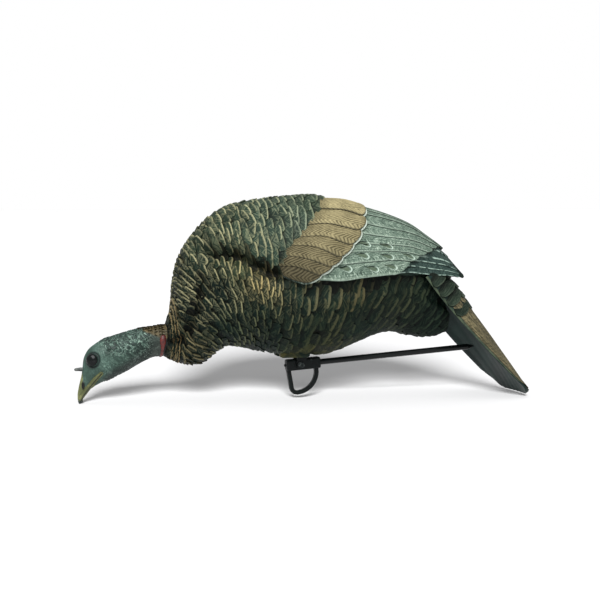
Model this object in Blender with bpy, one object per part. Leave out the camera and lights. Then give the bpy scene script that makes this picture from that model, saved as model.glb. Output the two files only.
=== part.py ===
"""Feeding hen turkey decoy: a hollow moulded body on a folding ground stake, with a head that turns.

Metres, +Z up. The head is at -X, the tail at +X and the bird's left side at -Y.
Dimensions below are millimetres unless they say otherwise.
"""

import math

import bmesh
import bpy
import numpy as np
from mathutils import Matrix, Vector

MM = 0.001

# Driving dimensions.
WALL = 4.0
RING_POINTS = 32
RING_SIDES = 8
HEAD_POINTS = 20

# Body sections, neck to rump: bottom x, bottom z, top x, top z, half width.
BODY_SECTIONS = [
    (-185.0, 60.0, -184.6, 104.0, 21.5),
    (-178.0, 58.5, -180.5, 120.0, 27.0),
    (-168.0, 54.0, -178.0, 138.0, 33.0),
    (-157.0, 51.0, -177.5, 157.0, 38.0),
    (-146.0, 49.5, -174.0, 177.0, 45.0),
    (-135.0, 52.0, -166.0, 199.0, 53.0),
    (-124.0, 61.0, -150.0, 222.0, 61.0),
    (-113.0, 70.0, -128.0, 245.0, 69.0),
    (-101.0, 76.0, -100.0, 260.0, 77.0),
    (-80.0, 73.5, -75.0, 267.0, 84.0),
    (-50.0, 66.5, -45.0, 271.0, 91.0),
    (-20.0, 62.0, -15.0, 274.0, 95.0),
    (10.0, 61.0, 12.0, 274.0, 96.0),
    (35.0, 63.0, 36.0, 271.0, 95.0),
    (58.0, 71.0, 60.0, 268.0, 92.0),
    (80.0, 80.0, 84.0, 261.0, 86.0),
    (104.0, 89.0, 110.0, 253.0, 79.0),
    (126.0, 92.0, 134.0, 244.0, 71.0),
    (148.0, 87.0, 154.0, 233.0, 61.0),
    (170.0, 83.5, 174.0, 211.0, 50.0),
    (188.0, 85.0, 186.0, 190.0, 44.0),
    (202.0, 90.0, 194.0, 164.0, 36.0),
]

# Wing sections use the same five numbers; only their upper half is used.
WING_SECTIONS = [
    (-60.0, 68.0, -60.0, 269.0, 88.0),
    (-20.0, 62.0, -20.0, 274.0, 95.0),
    (10.0, 61.0, 10.0, 274.5, 96.0),
    (35.0, 63.0, 35.0, 271.0, 95.0),
    (60.0, 71.0, 60.0, 268.0, 92.0),
    (84.0, 80.0, 84.0, 261.0, 86.0),
    (110.0, 89.0, 110.0, 253.0, 79.0),
    (134.0, 92.0, 134.0, 244.0, 71.0),
    (154.0, 90.0, 154.0, 234.5, 61.5),
    (174.0, 95.0, 174.0, 221.5, 52.0),
    (190.0, 105.0, 190.0, 211.0, 46.0),
    (206.0, 120.0, 206.0, 196.0, 39.0),
    (218.0, 132.0, 218.0, 182.0, 33.0),
    (229.0, 143.0, 229.0, 170.0, 24.0),
]
WING_THICKNESS = 4.0
WING_FRONT_TOP = 42.0
WING_FRONT_SWEEP = 72.0
WING_REAR = 216.0
WING_REAR_BULGE = 12.0
WING_TOP_ANGLE = 0.05
WING_LOW_X = (-40.0, 24.0, 81.0, 135.0, 176.0, 229.0)
WING_LOW_ANGLES = (1.60, 1.68, 1.64, 1.60, 1.37, 1.35)
WING_SEAT_DEPTH = 5.2
WING_SEAT_FROM_X = (-75.0, -42.0)
WING_ROWS = 18
WING_COLUMNS = 9

# Head sections, neck to beak, with the same five numbers.
HEAD_SECTIONS = [
    (-193.6, 60.2, -193.4, 102.6, 20.0),
    (-203.0, 60.0, -200.0, 101.6, 19.6),
    (-213.0, 56.0, -208.0, 100.4, 20.0),
    (-224.0, 50.0, -219.0, 99.0, 20.5),
    (-235.0, 43.5, -230.0, 96.5, 21.0),
    (-246.0, 38.0, -242.0, 93.0, 21.5),
    (-256.0, 33.0, -254.0, 89.5, 21.5),
    (-263.0, 30.0, -266.0, 86.0, 21.0),
    (-267.5, 29.0, -278.0, 79.5, 19.3),
    (-270.5, 28.0, -287.5, 72.0, 16.8),
    (-273.0, 26.5, -293.5, 61.0, 13.4),
    (-276.0, 25.0, -295.4, 49.0, 10.6),
    (-280.0, 22.6, -297.0, 37.0, 8.6),
    (-284.5, 18.8, -300.0, 25.0, 6.8),
    (-289.0, 13.0, -302.0, 14.0, 4.9),
    (-293.5, 7.0, -302.0, 6.6, 2.8),
]
BEAK_TIP = (-298.5, 0.0, 0.0)
HEAD_HOLLOW_SECTIONS = 7
HEAD_WALL = 2.6

# The neck joint: a frame whose +x runs out of the body along the neck.
NECK_CENTRE = (-184.8, 0.0, 82.0)
NECK_TILT = math.radians(0.5)
NECK_STUB_RADIUS = 17.2
NECK_RING_RADIUS = 20.6
NECK_RING_THICKNESS = 3.0

EYE_CENTRE = (-284.0, 8.9, 57.8)
EYE_RADIUS = 7.2
EYE_SEAT_RADIUS = 7.6
SNOOD_ROOT = (-290.0, 0.0, 45.0)
SNOOD_TURN = math.radians(183.0)

# The tail fan: s runs down the fan, y across it. It arches across, less so toward its end, and widens.
FAN_ORIGIN = Vector((199.5, 0.0, 169.0))
FAN_SLOPE = math.radians(52.5)
FAN_LENGTH = 199.0
FAN_THICKNESS = 5.0
FAN_ROOT_SAG = 35.0
FAN_END_SAG = 4.0
FAN_CURL = 9.0
FAN_ROOT_HALF_WIDTH = 64.0
FAN_END_HALF_WIDTH = 75.0
FAN_WIDENING = (0.0, 130.0)
FAN_ROOT_DROP = 14.0
FAN_CORNER_DROP = 35.0
FAN_ROWS = 14
FAN_COLUMNS = 20
COVERT_HEIGHT = 4.0
COVERT_RISE = (0.0, 18.0)
COVERT_FALL = (44.0, 66.0)
TAIL_SCREW_PLACE = (14.0, 12.0)

# The folding stake: a frame at the fold pin whose +x runs along the stowed rod.
PIVOT = (-1.4, 0.0, 47.0)
ROD_SLOPE = math.radians(4.7)
ROD_RADIUS = 4.0
ROD_END = 249.0
SLEEVE_LENGTH = (-18.5, 29.0)
SLEEVE_HALF_WIDTH = 8.0
SLEEVE_HALF_HEIGHT = 7.7
FOLD_PIN_RADIUS = 2.5
ROD_PIN_RADIUS = 1.3
PIN_GAP = 0.3
ROD_PIN_PLACE = (16.0, 4.3)
EAR_INNER = 9.0
EAR_THICKNESS = 3.6
PLATE_BOTTOM = 72.4
PLATE_THICKNESS = 3.2
SCREW_PLACES = [(-24.0, -18.0), (-24.0, 18.0), (24.0, -18.0), (24.0, 18.0)]
SCREW_RADIUS = 2.0
HOLE_RADIUS = 2.4


def clear_scene():
    for item in list(bpy.data.objects):
        bpy.data.objects.remove(item, do_unlink=True)


def material(name, color, roughness, metallic=0.0):
    made = bpy.data.materials.new(name)
    made.use_nodes = True
    shader = made.node_tree.nodes["Principled BSDF"]
    shader.inputs["Base Color"].default_value = (*color, 1.0)
    shader.inputs["Roughness"].default_value = roughness
    shader.inputs["Metallic"].default_value = metallic
    return made


def add_mesh(name, points, faces, color, frame=None, smooth=False, roughness=0.6, metallic=0.0):
    """One closed object from points in millimetres, placed by a frame in metres."""
    mesh = bpy.data.meshes.new(name)
    mesh.from_pydata([tuple(c * MM for c in p) for p in points], [], faces)
    tidy = bmesh.new()
    tidy.from_mesh(mesh)
    bmesh.ops.recalc_face_normals(tidy, faces=tidy.faces)
    tidy.to_mesh(mesh)
    tidy.free()
    for face in mesh.polygons:
        face.use_smooth = smooth
    mesh.materials.append(material(name + "_material", color, roughness, metallic))
    made = bpy.data.objects.new(name, mesh)
    bpy.context.collection.objects.link(made)
    if frame is not None:
        made.matrix_world = frame
    return made


def grid_faces(rows, columns, closed):
    """Quads between neighbouring rows of points; closed joins the last column to the first."""
    faces = []
    for row in range(rows - 1):
        for column in range(columns if closed else columns - 1):
            following = (column + 1) % columns
            here = row * columns
            above = here + columns
            faces.append((here + column, here + following, above + following, above + column))
    return faces


def turned(name, profile, color, frame=None, points=24, **look):
    """A round solid about local x from (x, radius) pairs, flat at both ends."""
    places = []
    for x, radius in profile:
        for step in range(points):
            angle = 2 * math.pi * step / points
            places.append((x, radius * math.cos(angle), radius * math.sin(angle)))
    faces = grid_faces(len(profile), points, True)
    last = (len(profile) - 1) * points
    faces.append(tuple(range(points)))
    faces.append(tuple(last + step for step in range(points)))
    return add_mesh(name, places, faces, color, frame, **look)


def washer_shape(name, x0, x1, inner, outer, color, frame=None, points=24, outer_points=None, **look):
    """A ring about local x; outer_points gives it that many flats instead of a round rim."""
    places = []
    for x in (x0, x1):
        for radius, flats in ((inner, None), (outer, outer_points)):
            for step in range(points):
                angle = 2 * math.pi * step / points
                reach = radius
                if flats:
                    sector = math.pi / flats
                    off_centre = (angle + sector) % (2 * sector) - sector
                    reach = radius * math.cos(sector) / math.cos(off_centre)
                places.append((x, reach * math.cos(angle), reach * math.sin(angle)))
    near_inner, near_outer, far_inner, far_outer = (points * k for k in range(4))
    faces = []
    for step in range(points):
        following = (step + 1) % points
        for first, second in (
            (near_inner, near_outer),
            (near_outer, far_outer),
            (far_outer, far_inner),
            (far_inner, near_inner),
        ):
            faces.append((first + step, first + following, second + following, second + step))
    return add_mesh(name, places, faces, color, frame, **look)


def box_points(low, high):
    return [(x, y, z) for x in (low[0], high[0]) for y in (low[1], high[1]) for z in (low[2], high[2])]


BOX_FACES = [(0, 1, 3, 2), (4, 6, 7, 5), (0, 4, 5, 1), (2, 3, 7, 6), (0, 2, 6, 4), (1, 5, 7, 3)]


def box(name, low, high, color, frame=None, **look):
    return add_mesh(name, box_points(low, high), BOX_FACES, color, frame, **look)


def prism(name, outline, y0, y1, color, frame=None, **look):
    """An outline in local x and z, extruded along y."""
    count = len(outline)
    places = [(x, y, z) for y in (y0, y1) for x, z in outline]
    faces = [tuple(range(count)), tuple(range(count, 2 * count))]
    for step in range(count):
        following = (step + 1) % count
        faces.append((step, following, count + following, count + step))
    return add_mesh(name, places, faces, color, frame, **look)


def arc(centre, radius, first, last, steps):
    """Points on an arc in x and z, by angle in degrees."""
    points = []
    for step in range(steps + 1):
        angle = math.radians(first + (last - first) * step / steps)
        points.append((centre[0] + radius * math.cos(angle), centre[1] + radius * math.sin(angle)))
    return points


def combine(target, tool, operation):
    """Cut the tool out of the target, or join it on, and keep the tool out of the build."""
    tool.hide_render = True
    tool.display_type = "WIRE"
    change = target.modifiers.new(operation.lower() + "_" + tool.name, "BOOLEAN")
    change.operation = operation
    change.solver = "EXACT"
    change.object = tool


def rounded(target, width, segments=2):
    bevel = target.modifiers.new("edges", "BEVEL")
    bevel.width = width * MM
    bevel.segments = segments
    bevel.limit_method = "ANGLE"


def smooth_sections(sections, steps):
    """A Catmull-Rom curve through the sections, with that many steps between neighbours."""
    rows = np.array(sections)
    padded = np.vstack([2 * rows[0] - rows[1], rows, 2 * rows[-1] - rows[-2]])
    out = []
    for index in range(len(rows) - 1):
        a, b, c, d = padded[index : index + 4]
        for step in range(steps):
            t = step / steps
            square_term = (2 * a - 5 * b + 4 * c - d) * t**2
            cube_term = (3 * b - a - 3 * c + d) * t**3
            out.append(0.5 * (2 * b + (c - a) * t + square_term + cube_term))
    out.append(rows[-1])
    return out


def smoothstep(low, high, value):
    t = min(max((value - low) / (high - low), 0.0), 1.0)
    return t * t * (3 - 2 * t)


def section_point(section, angle, offset=0.0):
    """A point on a section's oval; angle 0 is the top, and positive angles go to the bird's left."""
    bottom_x, bottom_z, top_x, top_z, half_width = section
    half_height = math.hypot(top_x - bottom_x, top_z - bottom_z) / 2
    reach = (half_height + offset) / half_height
    x = (bottom_x + top_x) / 2 + reach * math.cos(angle) * (top_x - bottom_x) / 2
    z = (bottom_z + top_z) / 2 + reach * math.cos(angle) * (top_z - bottom_z) / 2
    return x, -(half_width + offset) * math.sin(angle), z


def wing_seat(section, angle):
    """How far the body is set back under the wings at this place."""
    along = smoothstep(*WING_SEAT_FROM_X, (section[0] + section[2]) / 2)
    around = smoothstep(-0.32, -0.17, math.cos(angle))
    return -WING_SEAT_DEPTH * along * around


def hollow_loft(name, sections, inner_sections, points, wall, color, seat=None, tip=None, **look):
    """A shell through the sections, open at its first one, with an inner skin one wall inside."""
    angles = [2 * math.pi * step / points for step in range(points)]
    places = []
    for section in sections:
        for angle in angles:
            places.append(section_point(section, angle, seat(section, angle) if seat else 0.0))
    for section in inner_sections:
        for angle in angles:
            outer_offset = seat(section, angle) if seat else 0.0
            places.append(section_point(section, angle, outer_offset - wall))
    outer_rows, inner_rows = len(sections), len(inner_sections)
    first_inner = outer_rows * points
    faces = grid_faces(outer_rows, points, True)
    faces += [tuple(first_inner + corner for corner in face) for face in grid_faces(inner_rows, points, True)]
    outer_last = (outer_rows - 1) * points
    inner_last = first_inner + (inner_rows - 1) * points
    for step in range(points):
        following = (step + 1) % points
        faces.append((step, following, first_inner + following, first_inner + step))
    if tip is None:
        faces.append(tuple(outer_last + step for step in range(points)))
    else:
        tip_index = len(places)
        places.append(tip)
        faces += [(outer_last + step, outer_last + (step + 1) % points, tip_index) for step in range(points)]
    faces.append(tuple(inner_last + step for step in range(points)))
    return add_mesh(name, places, faces, color, smooth=True, **look)


def stake_frame():
    return Matrix.Translation(Vector(PIVOT) * MM) @ Matrix.Rotation(-ROD_SLOPE, 4, "Y")


def neck_frame():
    """Local +x points from the body toward the head."""
    return Matrix.Translation(Vector(NECK_CENTRE) * MM) @ Matrix.Rotation(math.pi - NECK_TILT, 4, "Y")


def fan_axes():
    down = Vector((math.cos(FAN_SLOPE), 0.0, -math.sin(FAN_SLOPE)))
    out = Vector((math.sin(FAN_SLOPE), 0.0, math.cos(FAN_SLOPE)))
    return down, out


def fan_frame(s, y):
    """A frame on the fan's upper face whose +x points out of it."""
    down, out = fan_axes()
    place = FAN_ORIGIN + down * s + Vector((0.0, y, 0.0))
    turn = Matrix((out, Vector((0.0, 1.0, 0.0)), -down)).transposed().to_4x4()
    return Matrix.Translation(place * MM) @ turn


def vertical_frame(x, y):
    """Local +x points up from the floor at this place."""
    return Matrix.Translation(Vector((x, y, 0.0)) * MM) @ Matrix.Rotation(-math.pi / 2, 4, "Y")


def across_frame(x, z):
    """Local +x runs along the fold pin, in the stake's frame."""
    return stake_frame() @ Matrix.Translation(Vector((x, 0.0, z)) * MM) @ Matrix.Rotation(math.pi / 2, 4, "Z")


FEATHER_DARK = (0.055, 0.075, 0.055)
FEATHER_TEAL = (0.20, 0.27, 0.23)
SKIN_BLUE = (0.10, 0.16, 0.13)
BLACK = (0.015, 0.017, 0.017)
STEEL = (0.45, 0.45, 0.44)
RED = (0.30, 0.06, 0.045)
STEEL_LOOK = {"metallic": 1.0, "roughness": 0.35}


def build_body():
    look = {"seat": wing_seat, "roughness": 0.7}
    outer, inner = BODY_SECTIONS, BODY_SECTIONS[:-1]
    body = hollow_loft("body_shell", outer, inner, RING_POINTS, WALL, FEATHER_DARK, **look)
    inner_boss = box("inner_boss", (-34.0, -27.0, 63.5), (34.0, 27.0, 72.0), BLACK)
    outer_boss = box("outer_boss", (-32.0, -23.0, 57.0), (9.0, 23.0, 68.0), BLACK)
    rounded(outer_boss, 5.0)
    combine(body, inner_boss, "UNION")
    combine(body, outer_boss, "UNION")
    seat = box("tail_seat", (-34.0, -22.0, -30.0), (-7.8, 22.0, -3.0), BLACK, fan_frame(0.0, 0.0))
    combine(body, seat, "UNION")
    combine(body, box("ear_slot", (-10.0, -13.2, 40.0), (11.0, 13.2, 80.0), BLACK), "DIFFERENCE")
    combine(body, box("fold_slot", (-50.0, -9.6, 40.0), (0.0, 9.6, 66.5), BLACK), "DIFFERENCE")
    for index, (x, y) in enumerate(SCREW_PLACES):
        profile = [(50.0, 4.8), (64.5, 4.8), (64.5, HOLE_RADIUS), (85.0, HOLE_RADIUS)]
        hole = turned(f"screw_hole_{index}", profile, BLACK, vertical_frame(x, y), points=16)
        combine(body, hole, "DIFFERENCE")
    for side in (-1, 1):
        profile = [(-28.0, HOLE_RADIUS), (4.0, HOLE_RADIUS)]
        hole = turned(f"tail_hole_{side}", profile, BLACK, tail_screw_frame(side), points=16)
        combine(body, hole, "DIFFERENCE")


def panel_faces(rows, columns):
    """Faces of a panel given as two layers of rows by columns points, closed round its rim."""
    layer = rows * columns
    sheet = grid_faces(rows, columns, False)
    faces = sheet + [tuple(layer + corner for corner in face) for face in sheet]
    rim = list(range(columns))
    rim += [row * columns + columns - 1 for row in range(1, rows)]
    rim += [(rows - 1) * columns + column for column in range(columns - 2, -1, -1)]
    rim += [row * columns for row in range(rows - 2, 0, -1)]
    for index, corner in enumerate(rim):
        following = rim[(index + 1) % len(rim)]
        faces.append((corner, following, layer + following, layer + corner))
    return faces


def wing_section(rows, x):
    """The wing's section at this x, with its oval standing upright."""
    bottom, top, half_width = (float(np.interp(x, rows[:, 0], rows[:, column])) for column in (1, 3, 4))
    return x, bottom, x, top, half_width


def wing_low_angle(x):
    """The angle of the wing's lower edge at this x."""
    return float(np.interp(x, WING_LOW_X, WING_LOW_ANGLES))


def build_wing(name, side):
    """A panel over the body's upper side, from the scapular feathers to the wing tip."""
    rows = np.array(smooth_sections(WING_SECTIONS, 4))
    places = []
    for offset in (0.0, -WING_THICKNESS):
        for row in range(WING_ROWS):
            along = row / (WING_ROWS - 1)
            for column in range(WING_COLUMNS):
                down = column / (WING_COLUMNS - 1)
                front = WING_FRONT_TOP - WING_FRONT_SWEEP * down**1.5
                rear = WING_REAR + WING_REAR_BULGE * math.sin(math.pi * min(down * 0.75 + 0.2, 1.0))
                x = front + (rear - front) * along
                angle = WING_TOP_ANGLE + (wing_low_angle(x) - WING_TOP_ANGLE) * down
                px, py, pz = section_point(wing_section(rows, x), angle, offset)
                places.append((px, side * py, pz))
    return add_mesh(name, places, panel_faces(WING_ROWS, WING_COLUMNS), FEATHER_TEAL, smooth=True)


def fan_point(across, along, under):
    """A point of the fan: across -1..1 and along 0..1, on its upper face or its under face."""
    down, out = fan_axes()
    edge = abs(across)
    start = -FAN_ROOT_DROP * smoothstep(0.78, 1.0, edge)
    end = FAN_LENGTH - FAN_CORNER_DROP * edge**7
    s = start + (end - start) * along
    widening = smoothstep(*FAN_WIDENING, s)
    y = across * (FAN_ROOT_HALF_WIDTH + (FAN_END_HALF_WIDTH - FAN_ROOT_HALF_WIDTH) * widening)
    sag = FAN_ROOT_SAG + (FAN_END_SAG - FAN_ROOT_SAG) * (max(s, 0.0) / FAN_LENGTH) ** 2
    covered = smoothstep(*COVERT_RISE, s) * (1.0 - smoothstep(*COVERT_FALL, s)) * (1.0 - edge**4)
    curl = FAN_CURL * (max(s, 0.0) / FAN_LENGTH) ** 3
    lift = -sag * edge**3 - curl + (-FAN_THICKNESS if under else COVERT_HEIGHT * covered)
    point = FAN_ORIGIN + down * s + out * lift
    return point.x, -y, point.z


def tail_screw_frame(side):
    s, y = TAIL_SCREW_PLACE
    return fan_frame(s, y * side)


def build_fan():
    places = []
    for under in (False, True):
        for row in range(FAN_ROWS):
            for column in range(FAN_COLUMNS + 1):
                across = math.sin(math.pi / 2 * (2 * column / FAN_COLUMNS - 1))
                places.append(fan_point(across, row / (FAN_ROWS - 1), under))
    faces = panel_faces(FAN_ROWS, FAN_COLUMNS + 1)
    fan = add_mesh("tail_fan", places, faces, FEATHER_DARK, smooth=True)
    for side, word in ((-1, "left"), (1, "right")):
        frame = tail_screw_frame(side)
        recess = [(-8.0, HOLE_RADIUS), (-2.5, HOLE_RADIUS), (-2.5, 4.9), (14.0, 4.9)]
        combine(fan, turned(f"tail_recess_{word}", recess, BLACK, frame, points=16), "DIFFERENCE")
        shank = [(-26.0, 0.8), (-23.0, SCREW_RADIUS), (-2.1, SCREW_RADIUS)]
        screw = shank + [(-2.1, 4.2), (-0.4, 4.2), (0.4, 2.6)]
        turned(f"tail_screw_{word}", screw, STEEL, frame, points=16, **STEEL_LOOK)


def build_head():
    step_x = HEAD_SECTIONS[0][0]
    stub = []
    bottom, top = NECK_CENTRE[2] - NECK_STUB_RADIUS, NECK_CENTRE[2] + NECK_STUB_RADIUS
    for x in (NECK_CENTRE[0] - 2.4, step_x + 0.6):
        stub.append((x, bottom, x, top, NECK_STUB_RADIUS))
    hollow = list(stub)
    for bottom_x, bottom_z, top_x, top_z, half_width in HEAD_SECTIONS[:HEAD_HOLLOW_SECTIONS]:
        hollow.append((bottom_x, bottom_z + 1.0, top_x, top_z - 1.0, half_width - 1.0))
    look = {"tip": BEAK_TIP, "roughness": 0.65}
    outer = stub + HEAD_SECTIONS
    head = hollow_loft("head_shell", outer, hollow, HEAD_POINTS, HEAD_WALL, SKIN_BLUE, **look)
    for side, word in ((-1, "left"), (1, "right")):
        centre = (EYE_CENTRE[0], side * EYE_CENTRE[1], EYE_CENTRE[2])
        combine(head, ball(f"eye_seat_{word}", centre, EYE_SEAT_RADIUS, BLACK), "DIFFERENCE")
        ball(f"eye_{word}", centre, EYE_RADIUS, BLACK, roughness=0.1)
    snood_frame = Matrix.Translation(Vector(SNOOD_ROOT) * MM) @ Matrix.Rotation(SNOOD_TURN, 4, "Y")
    seat = [(0.0, 3.0), (9.0, 3.0)]
    combine(head, turned("snood_seat", seat, BLACK, snood_frame, points=12), "DIFFERENCE")
    horn = [(0.5, 2.4), (6.0, 2.6), (9.0, 2.3), (13.0, 1.9), (15.5, 1.5), (16.6, 0.7)]
    turned("snood", horn, SKIN_BLUE, snood_frame, points=12, smooth=True)


def ball(name, centre, radius, color, rows=12, points=16, **look):
    profile = []
    for step in range(1, rows):
        angle = math.pi * step / rows
        profile.append((-radius * math.cos(angle), radius * math.sin(angle)))
    frame = Matrix.Translation(Vector(centre) * MM) @ Matrix.Rotation(math.pi / 2, 4, "Z")
    return turned(name, profile, color, frame, points=points, smooth=True, **look)


def build_neck_joint():
    frame = neck_frame()
    ring = []
    for step in range(RING_POINTS):
        around = 2 * math.pi * step / RING_POINTS
        for turn in range(RING_SIDES):
            angle = 2 * math.pi * turn / RING_SIDES
            radius = NECK_RING_RADIUS + NECK_RING_THICKNESS * math.cos(angle)
            x = 5.4 + NECK_RING_THICKNESS * math.sin(angle)
            ring.append((x, radius * math.cos(around), radius * math.sin(around)))
    faces = grid_faces(RING_POINTS, RING_SIDES, True)
    last = (RING_POINTS - 1) * RING_SIDES
    for turn in range(RING_SIDES):
        following = (turn + 1) % RING_SIDES
        faces.append((last + turn, last + following, following, turn))
    add_mesh("neck_ring", ring, faces, RED, frame, smooth=True)
    washer_shape("neck_socket", -12.0, -1.0, 10.4, 16.6, BLACK, frame, points=24)
    plug = turned("neck_plug", [(-14.0, 9.8), (2.2, 9.8), (2.2, 13.9), (9.0, 13.9)], BLACK, frame, points=24)
    bore = turned("plug_bore", [(-20.0, 3.3), (20.0, 3.3)], BLACK, frame, points=16)
    combine(plug, bore, "DIFFERENCE")
    bolt = [(-30.0, 2.4), (-29.0, 3.0), (9.4, 3.0), (9.4, 6.5), (12.4, 6.5), (13.6, 4.5)]
    turned("neck_bolt", bolt, STEEL, frame, points=20, **STEEL_LOOK)
    washer_shape("neck_washer", -16.0, -14.4, 3.4, 14.0, STEEL, frame, points=24, **STEEL_LOOK)
    washer_shape(
        "neck_nut", -22.0, -16.4, 3.3, 6.4, STEEL, frame, points=24, outer_points=6, **STEEL_LOOK
    )


def build_bracket():
    plate = box(
        "stake_bracket",
        (-30.0, -24.0, PLATE_BOTTOM),
        (30.0, 24.0, PLATE_BOTTOM + PLATE_THICKNESS),
        BLACK,
        roughness=0.5,
    )
    px, _, pz = PIVOT
    outline = arc((px, pz), 5.8, 180.0, 350.0, 12) + [(7.5, 60.0), (8.5, 73.5), (-6.0, 73.5), (-6.4, 58.0)]
    for side in (-1, 1):
        inner, outer = EAR_INNER * side, (EAR_INNER + EAR_THICKNESS) * side
        ear = prism(f"ear_{side}", outline, min(inner, outer), max(inner, outer), BLACK)
        combine(plate, ear, "UNION")
    pin_hole = FOLD_PIN_RADIUS + PIN_GAP
    hole = turned("ear_hole", [(-20.0, pin_hole), (20.0, pin_hole)], BLACK, across_frame(0, 0))
    combine(plate, hole, "DIFFERENCE")
    for index, (x, y) in enumerate(SCREW_PLACES):
        frame = vertical_frame(x, y)
        profile = [(70.0, HOLE_RADIUS), (80.0, HOLE_RADIUS)]
        combine(plate, turned(f"plate_hole_{index}", profile, BLACK, frame, points=16), "DIFFERENCE")
        head = [(61.3, 2.6), (61.8, 4.2), (64.1, 4.2)]
        screw = head + [(64.1, SCREW_RADIUS), (81.0, SCREW_RADIUS), (81.6, 1.5)]
        turned(f"bracket_screw_{index + 1}", screw, STEEL, frame, points=16, **STEEL_LOOK)
        washer_shape(
            f"bracket_nut_{index + 1}",
            PLATE_BOTTOM + PLATE_THICKNESS + 0.3,
            PLATE_BOTTOM + PLATE_THICKNESS + 3.5,
            SCREW_RADIUS + 0.35,
            4.2,
            STEEL,
            frame,
            points=24,
            outer_points=6,
            **STEEL_LOOK,
        )
    pin_head = [(-15.6, 3.2), (-15.0, 4.6), (-13.0, 4.6)]
    pin = pin_head + [(-13.0, FOLD_PIN_RADIUS), (15.4, FOLD_PIN_RADIUS), (16.0, 2.0)]
    turned("fold_pin", pin, STEEL, across_frame(0, 0), points=20, **STEEL_LOOK)
    clip = washer_shape(
        "fold_clip", 13.0, 14.2, FOLD_PIN_RADIUS + 0.35, 5.0, STEEL, across_frame(0, 0), **STEEL_LOOK
    )
    gap = box("clip_gap", (12.0, -1.6, -8.0), (15.0, 1.6, 0.0), BLACK, across_frame(0, 0))
    combine(clip, gap, "DIFFERENCE")


def strip_along(path, half_thickness):
    """Left and right offsets of a path in x and z."""
    left, right = [], []
    for index, (x, z) in enumerate(path):
        before = path[max(index - 1, 0)]
        after = path[min(index + 1, len(path) - 1)]
        dx, dz = after[0] - before[0], after[1] - before[1]
        length = math.hypot(dx, dz)
        nx, nz = -dz / length * half_thickness, dx / length * half_thickness
        left.append((x + nx, z + nz))
        right.append((x - nx, z - nz))
    return left, right


LOOP_HALF_THICKNESS = 2.8
LOOP_HALF_WIDTH = 4.2
LOOP_LEG_TOP = (-15.6, -5.0)
LOOP_LEG_BOTTOM = (-13.2, -31.0)


def loop_path():
    corner = [(-12.3, -34.6), (-9.8, -37.2), (-6.0, -38.4)]
    bow = arc((-5.5, -9.5), 28.8, 276.0, 352.0, 12)
    return [LOOP_LEG_TOP, LOOP_LEG_BOTTOM] + corner + bow + [(23.2, -5.0)]


def build_stake():
    frame = stake_frame()
    handle = box(
        "step_handle",
        (SLEEVE_LENGTH[0], -SLEEVE_HALF_WIDTH, -SLEEVE_HALF_HEIGHT),
        (SLEEVE_LENGTH[1], SLEEVE_HALF_WIDTH, SLEEVE_HALF_HEIGHT),
        BLACK,
        frame,
        roughness=0.5,
    )
    rounded(handle, 2.6, 3)
    left, right = strip_along(loop_path(), LOOP_HALF_THICKNESS)
    outline = left + right[::-1]
    loop = prism("foot_loop", outline, -LOOP_HALF_WIDTH, LOOP_HALF_WIDTH, BLACK, frame)
    rounded(loop, 1.0, 1)
    combine(handle, loop, "UNION")
    combine(handle, turned("end_nub", [(-20.6, 1.6), (-17.0, 2.2)], BLACK, frame, points=12), "UNION")
    combine(handle, turned("rod_bore", [(5.5, 4.4), (40.0, 4.4)], BLACK, frame, points=24), "DIFFERENCE")
    pivot_hole = [(-12.0, FOLD_PIN_RADIUS + PIN_GAP), (12.0, FOLD_PIN_RADIUS + PIN_GAP)]
    combine(handle, turned("pivot_hole", pivot_hole, BLACK, across_frame(0, 0)), "DIFFERENCE")
    cross = across_frame(*ROD_PIN_PLACE)
    pin_hole = [(-12.0, ROD_PIN_RADIUS + PIN_GAP), (12.0, ROD_PIN_RADIUS + PIN_GAP)]
    combine(handle, turned("pin_hole", pin_hole, BLACK, cross, points=16), "DIFFERENCE")
    turned(
        "rod_pin", [(-7.8, ROD_PIN_RADIUS), (7.8, ROD_PIN_RADIUS)], STEEL, cross, points=16, **STEEL_LOOK
    )
    rod = [
        (6.2, 3.4),
        (6.8, ROD_RADIUS),
        (14.1, ROD_RADIUS),
        (14.1, 2.6),
        (17.9, 2.6),
        (17.9, ROD_RADIUS),
        (ROD_END - 9.0, ROD_RADIUS),
        (ROD_END, 1.0),
    ]
    turned("stake_rod", rod, BLACK, frame, points=24, smooth=False, metallic=0.6, roughness=0.35)


def stand_on_origin():
    """Move the finished part so that the middle of its box's base is at the origin."""
    bpy.context.view_layer.update()
    solids = [item for item in bpy.data.objects if item.type == "MESH" and not item.hide_render]
    depsgraph = bpy.context.evaluated_depsgraph_get()
    corners = []
    for item in solids:
        evaluated = item.evaluated_get(depsgraph)
        corners += [evaluated.matrix_world @ vertex.co for vertex in evaluated.data.vertices]
    low = [min(corner[axis] for corner in corners) for axis in range(3)]
    high = [max(corner[axis] for corner in corners) for axis in range(3)]
    shift = Matrix.Translation((-(low[0] + high[0]) / 2, 0.0, -low[2]))
    for item in bpy.data.objects:
        item.matrix_world = shift @ item.matrix_world


clear_scene()
build_body()
build_wing("wing_left", 1)
build_wing("wing_right", -1)
build_fan()
build_head()
build_neck_joint()
build_bracket()
build_stake()
stand_on_origin()
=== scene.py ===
"""The looks of the feeding hen turkey decoy: moulded, dry-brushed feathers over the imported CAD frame.

Shapes are written in millimetres in the modelling frame, in which the tail is at +X, the head at -X
and the bird's left side at -Y. The function placed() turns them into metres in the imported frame.
"""

import math

import bpy
import numpy as np
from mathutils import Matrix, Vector, noise


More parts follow.
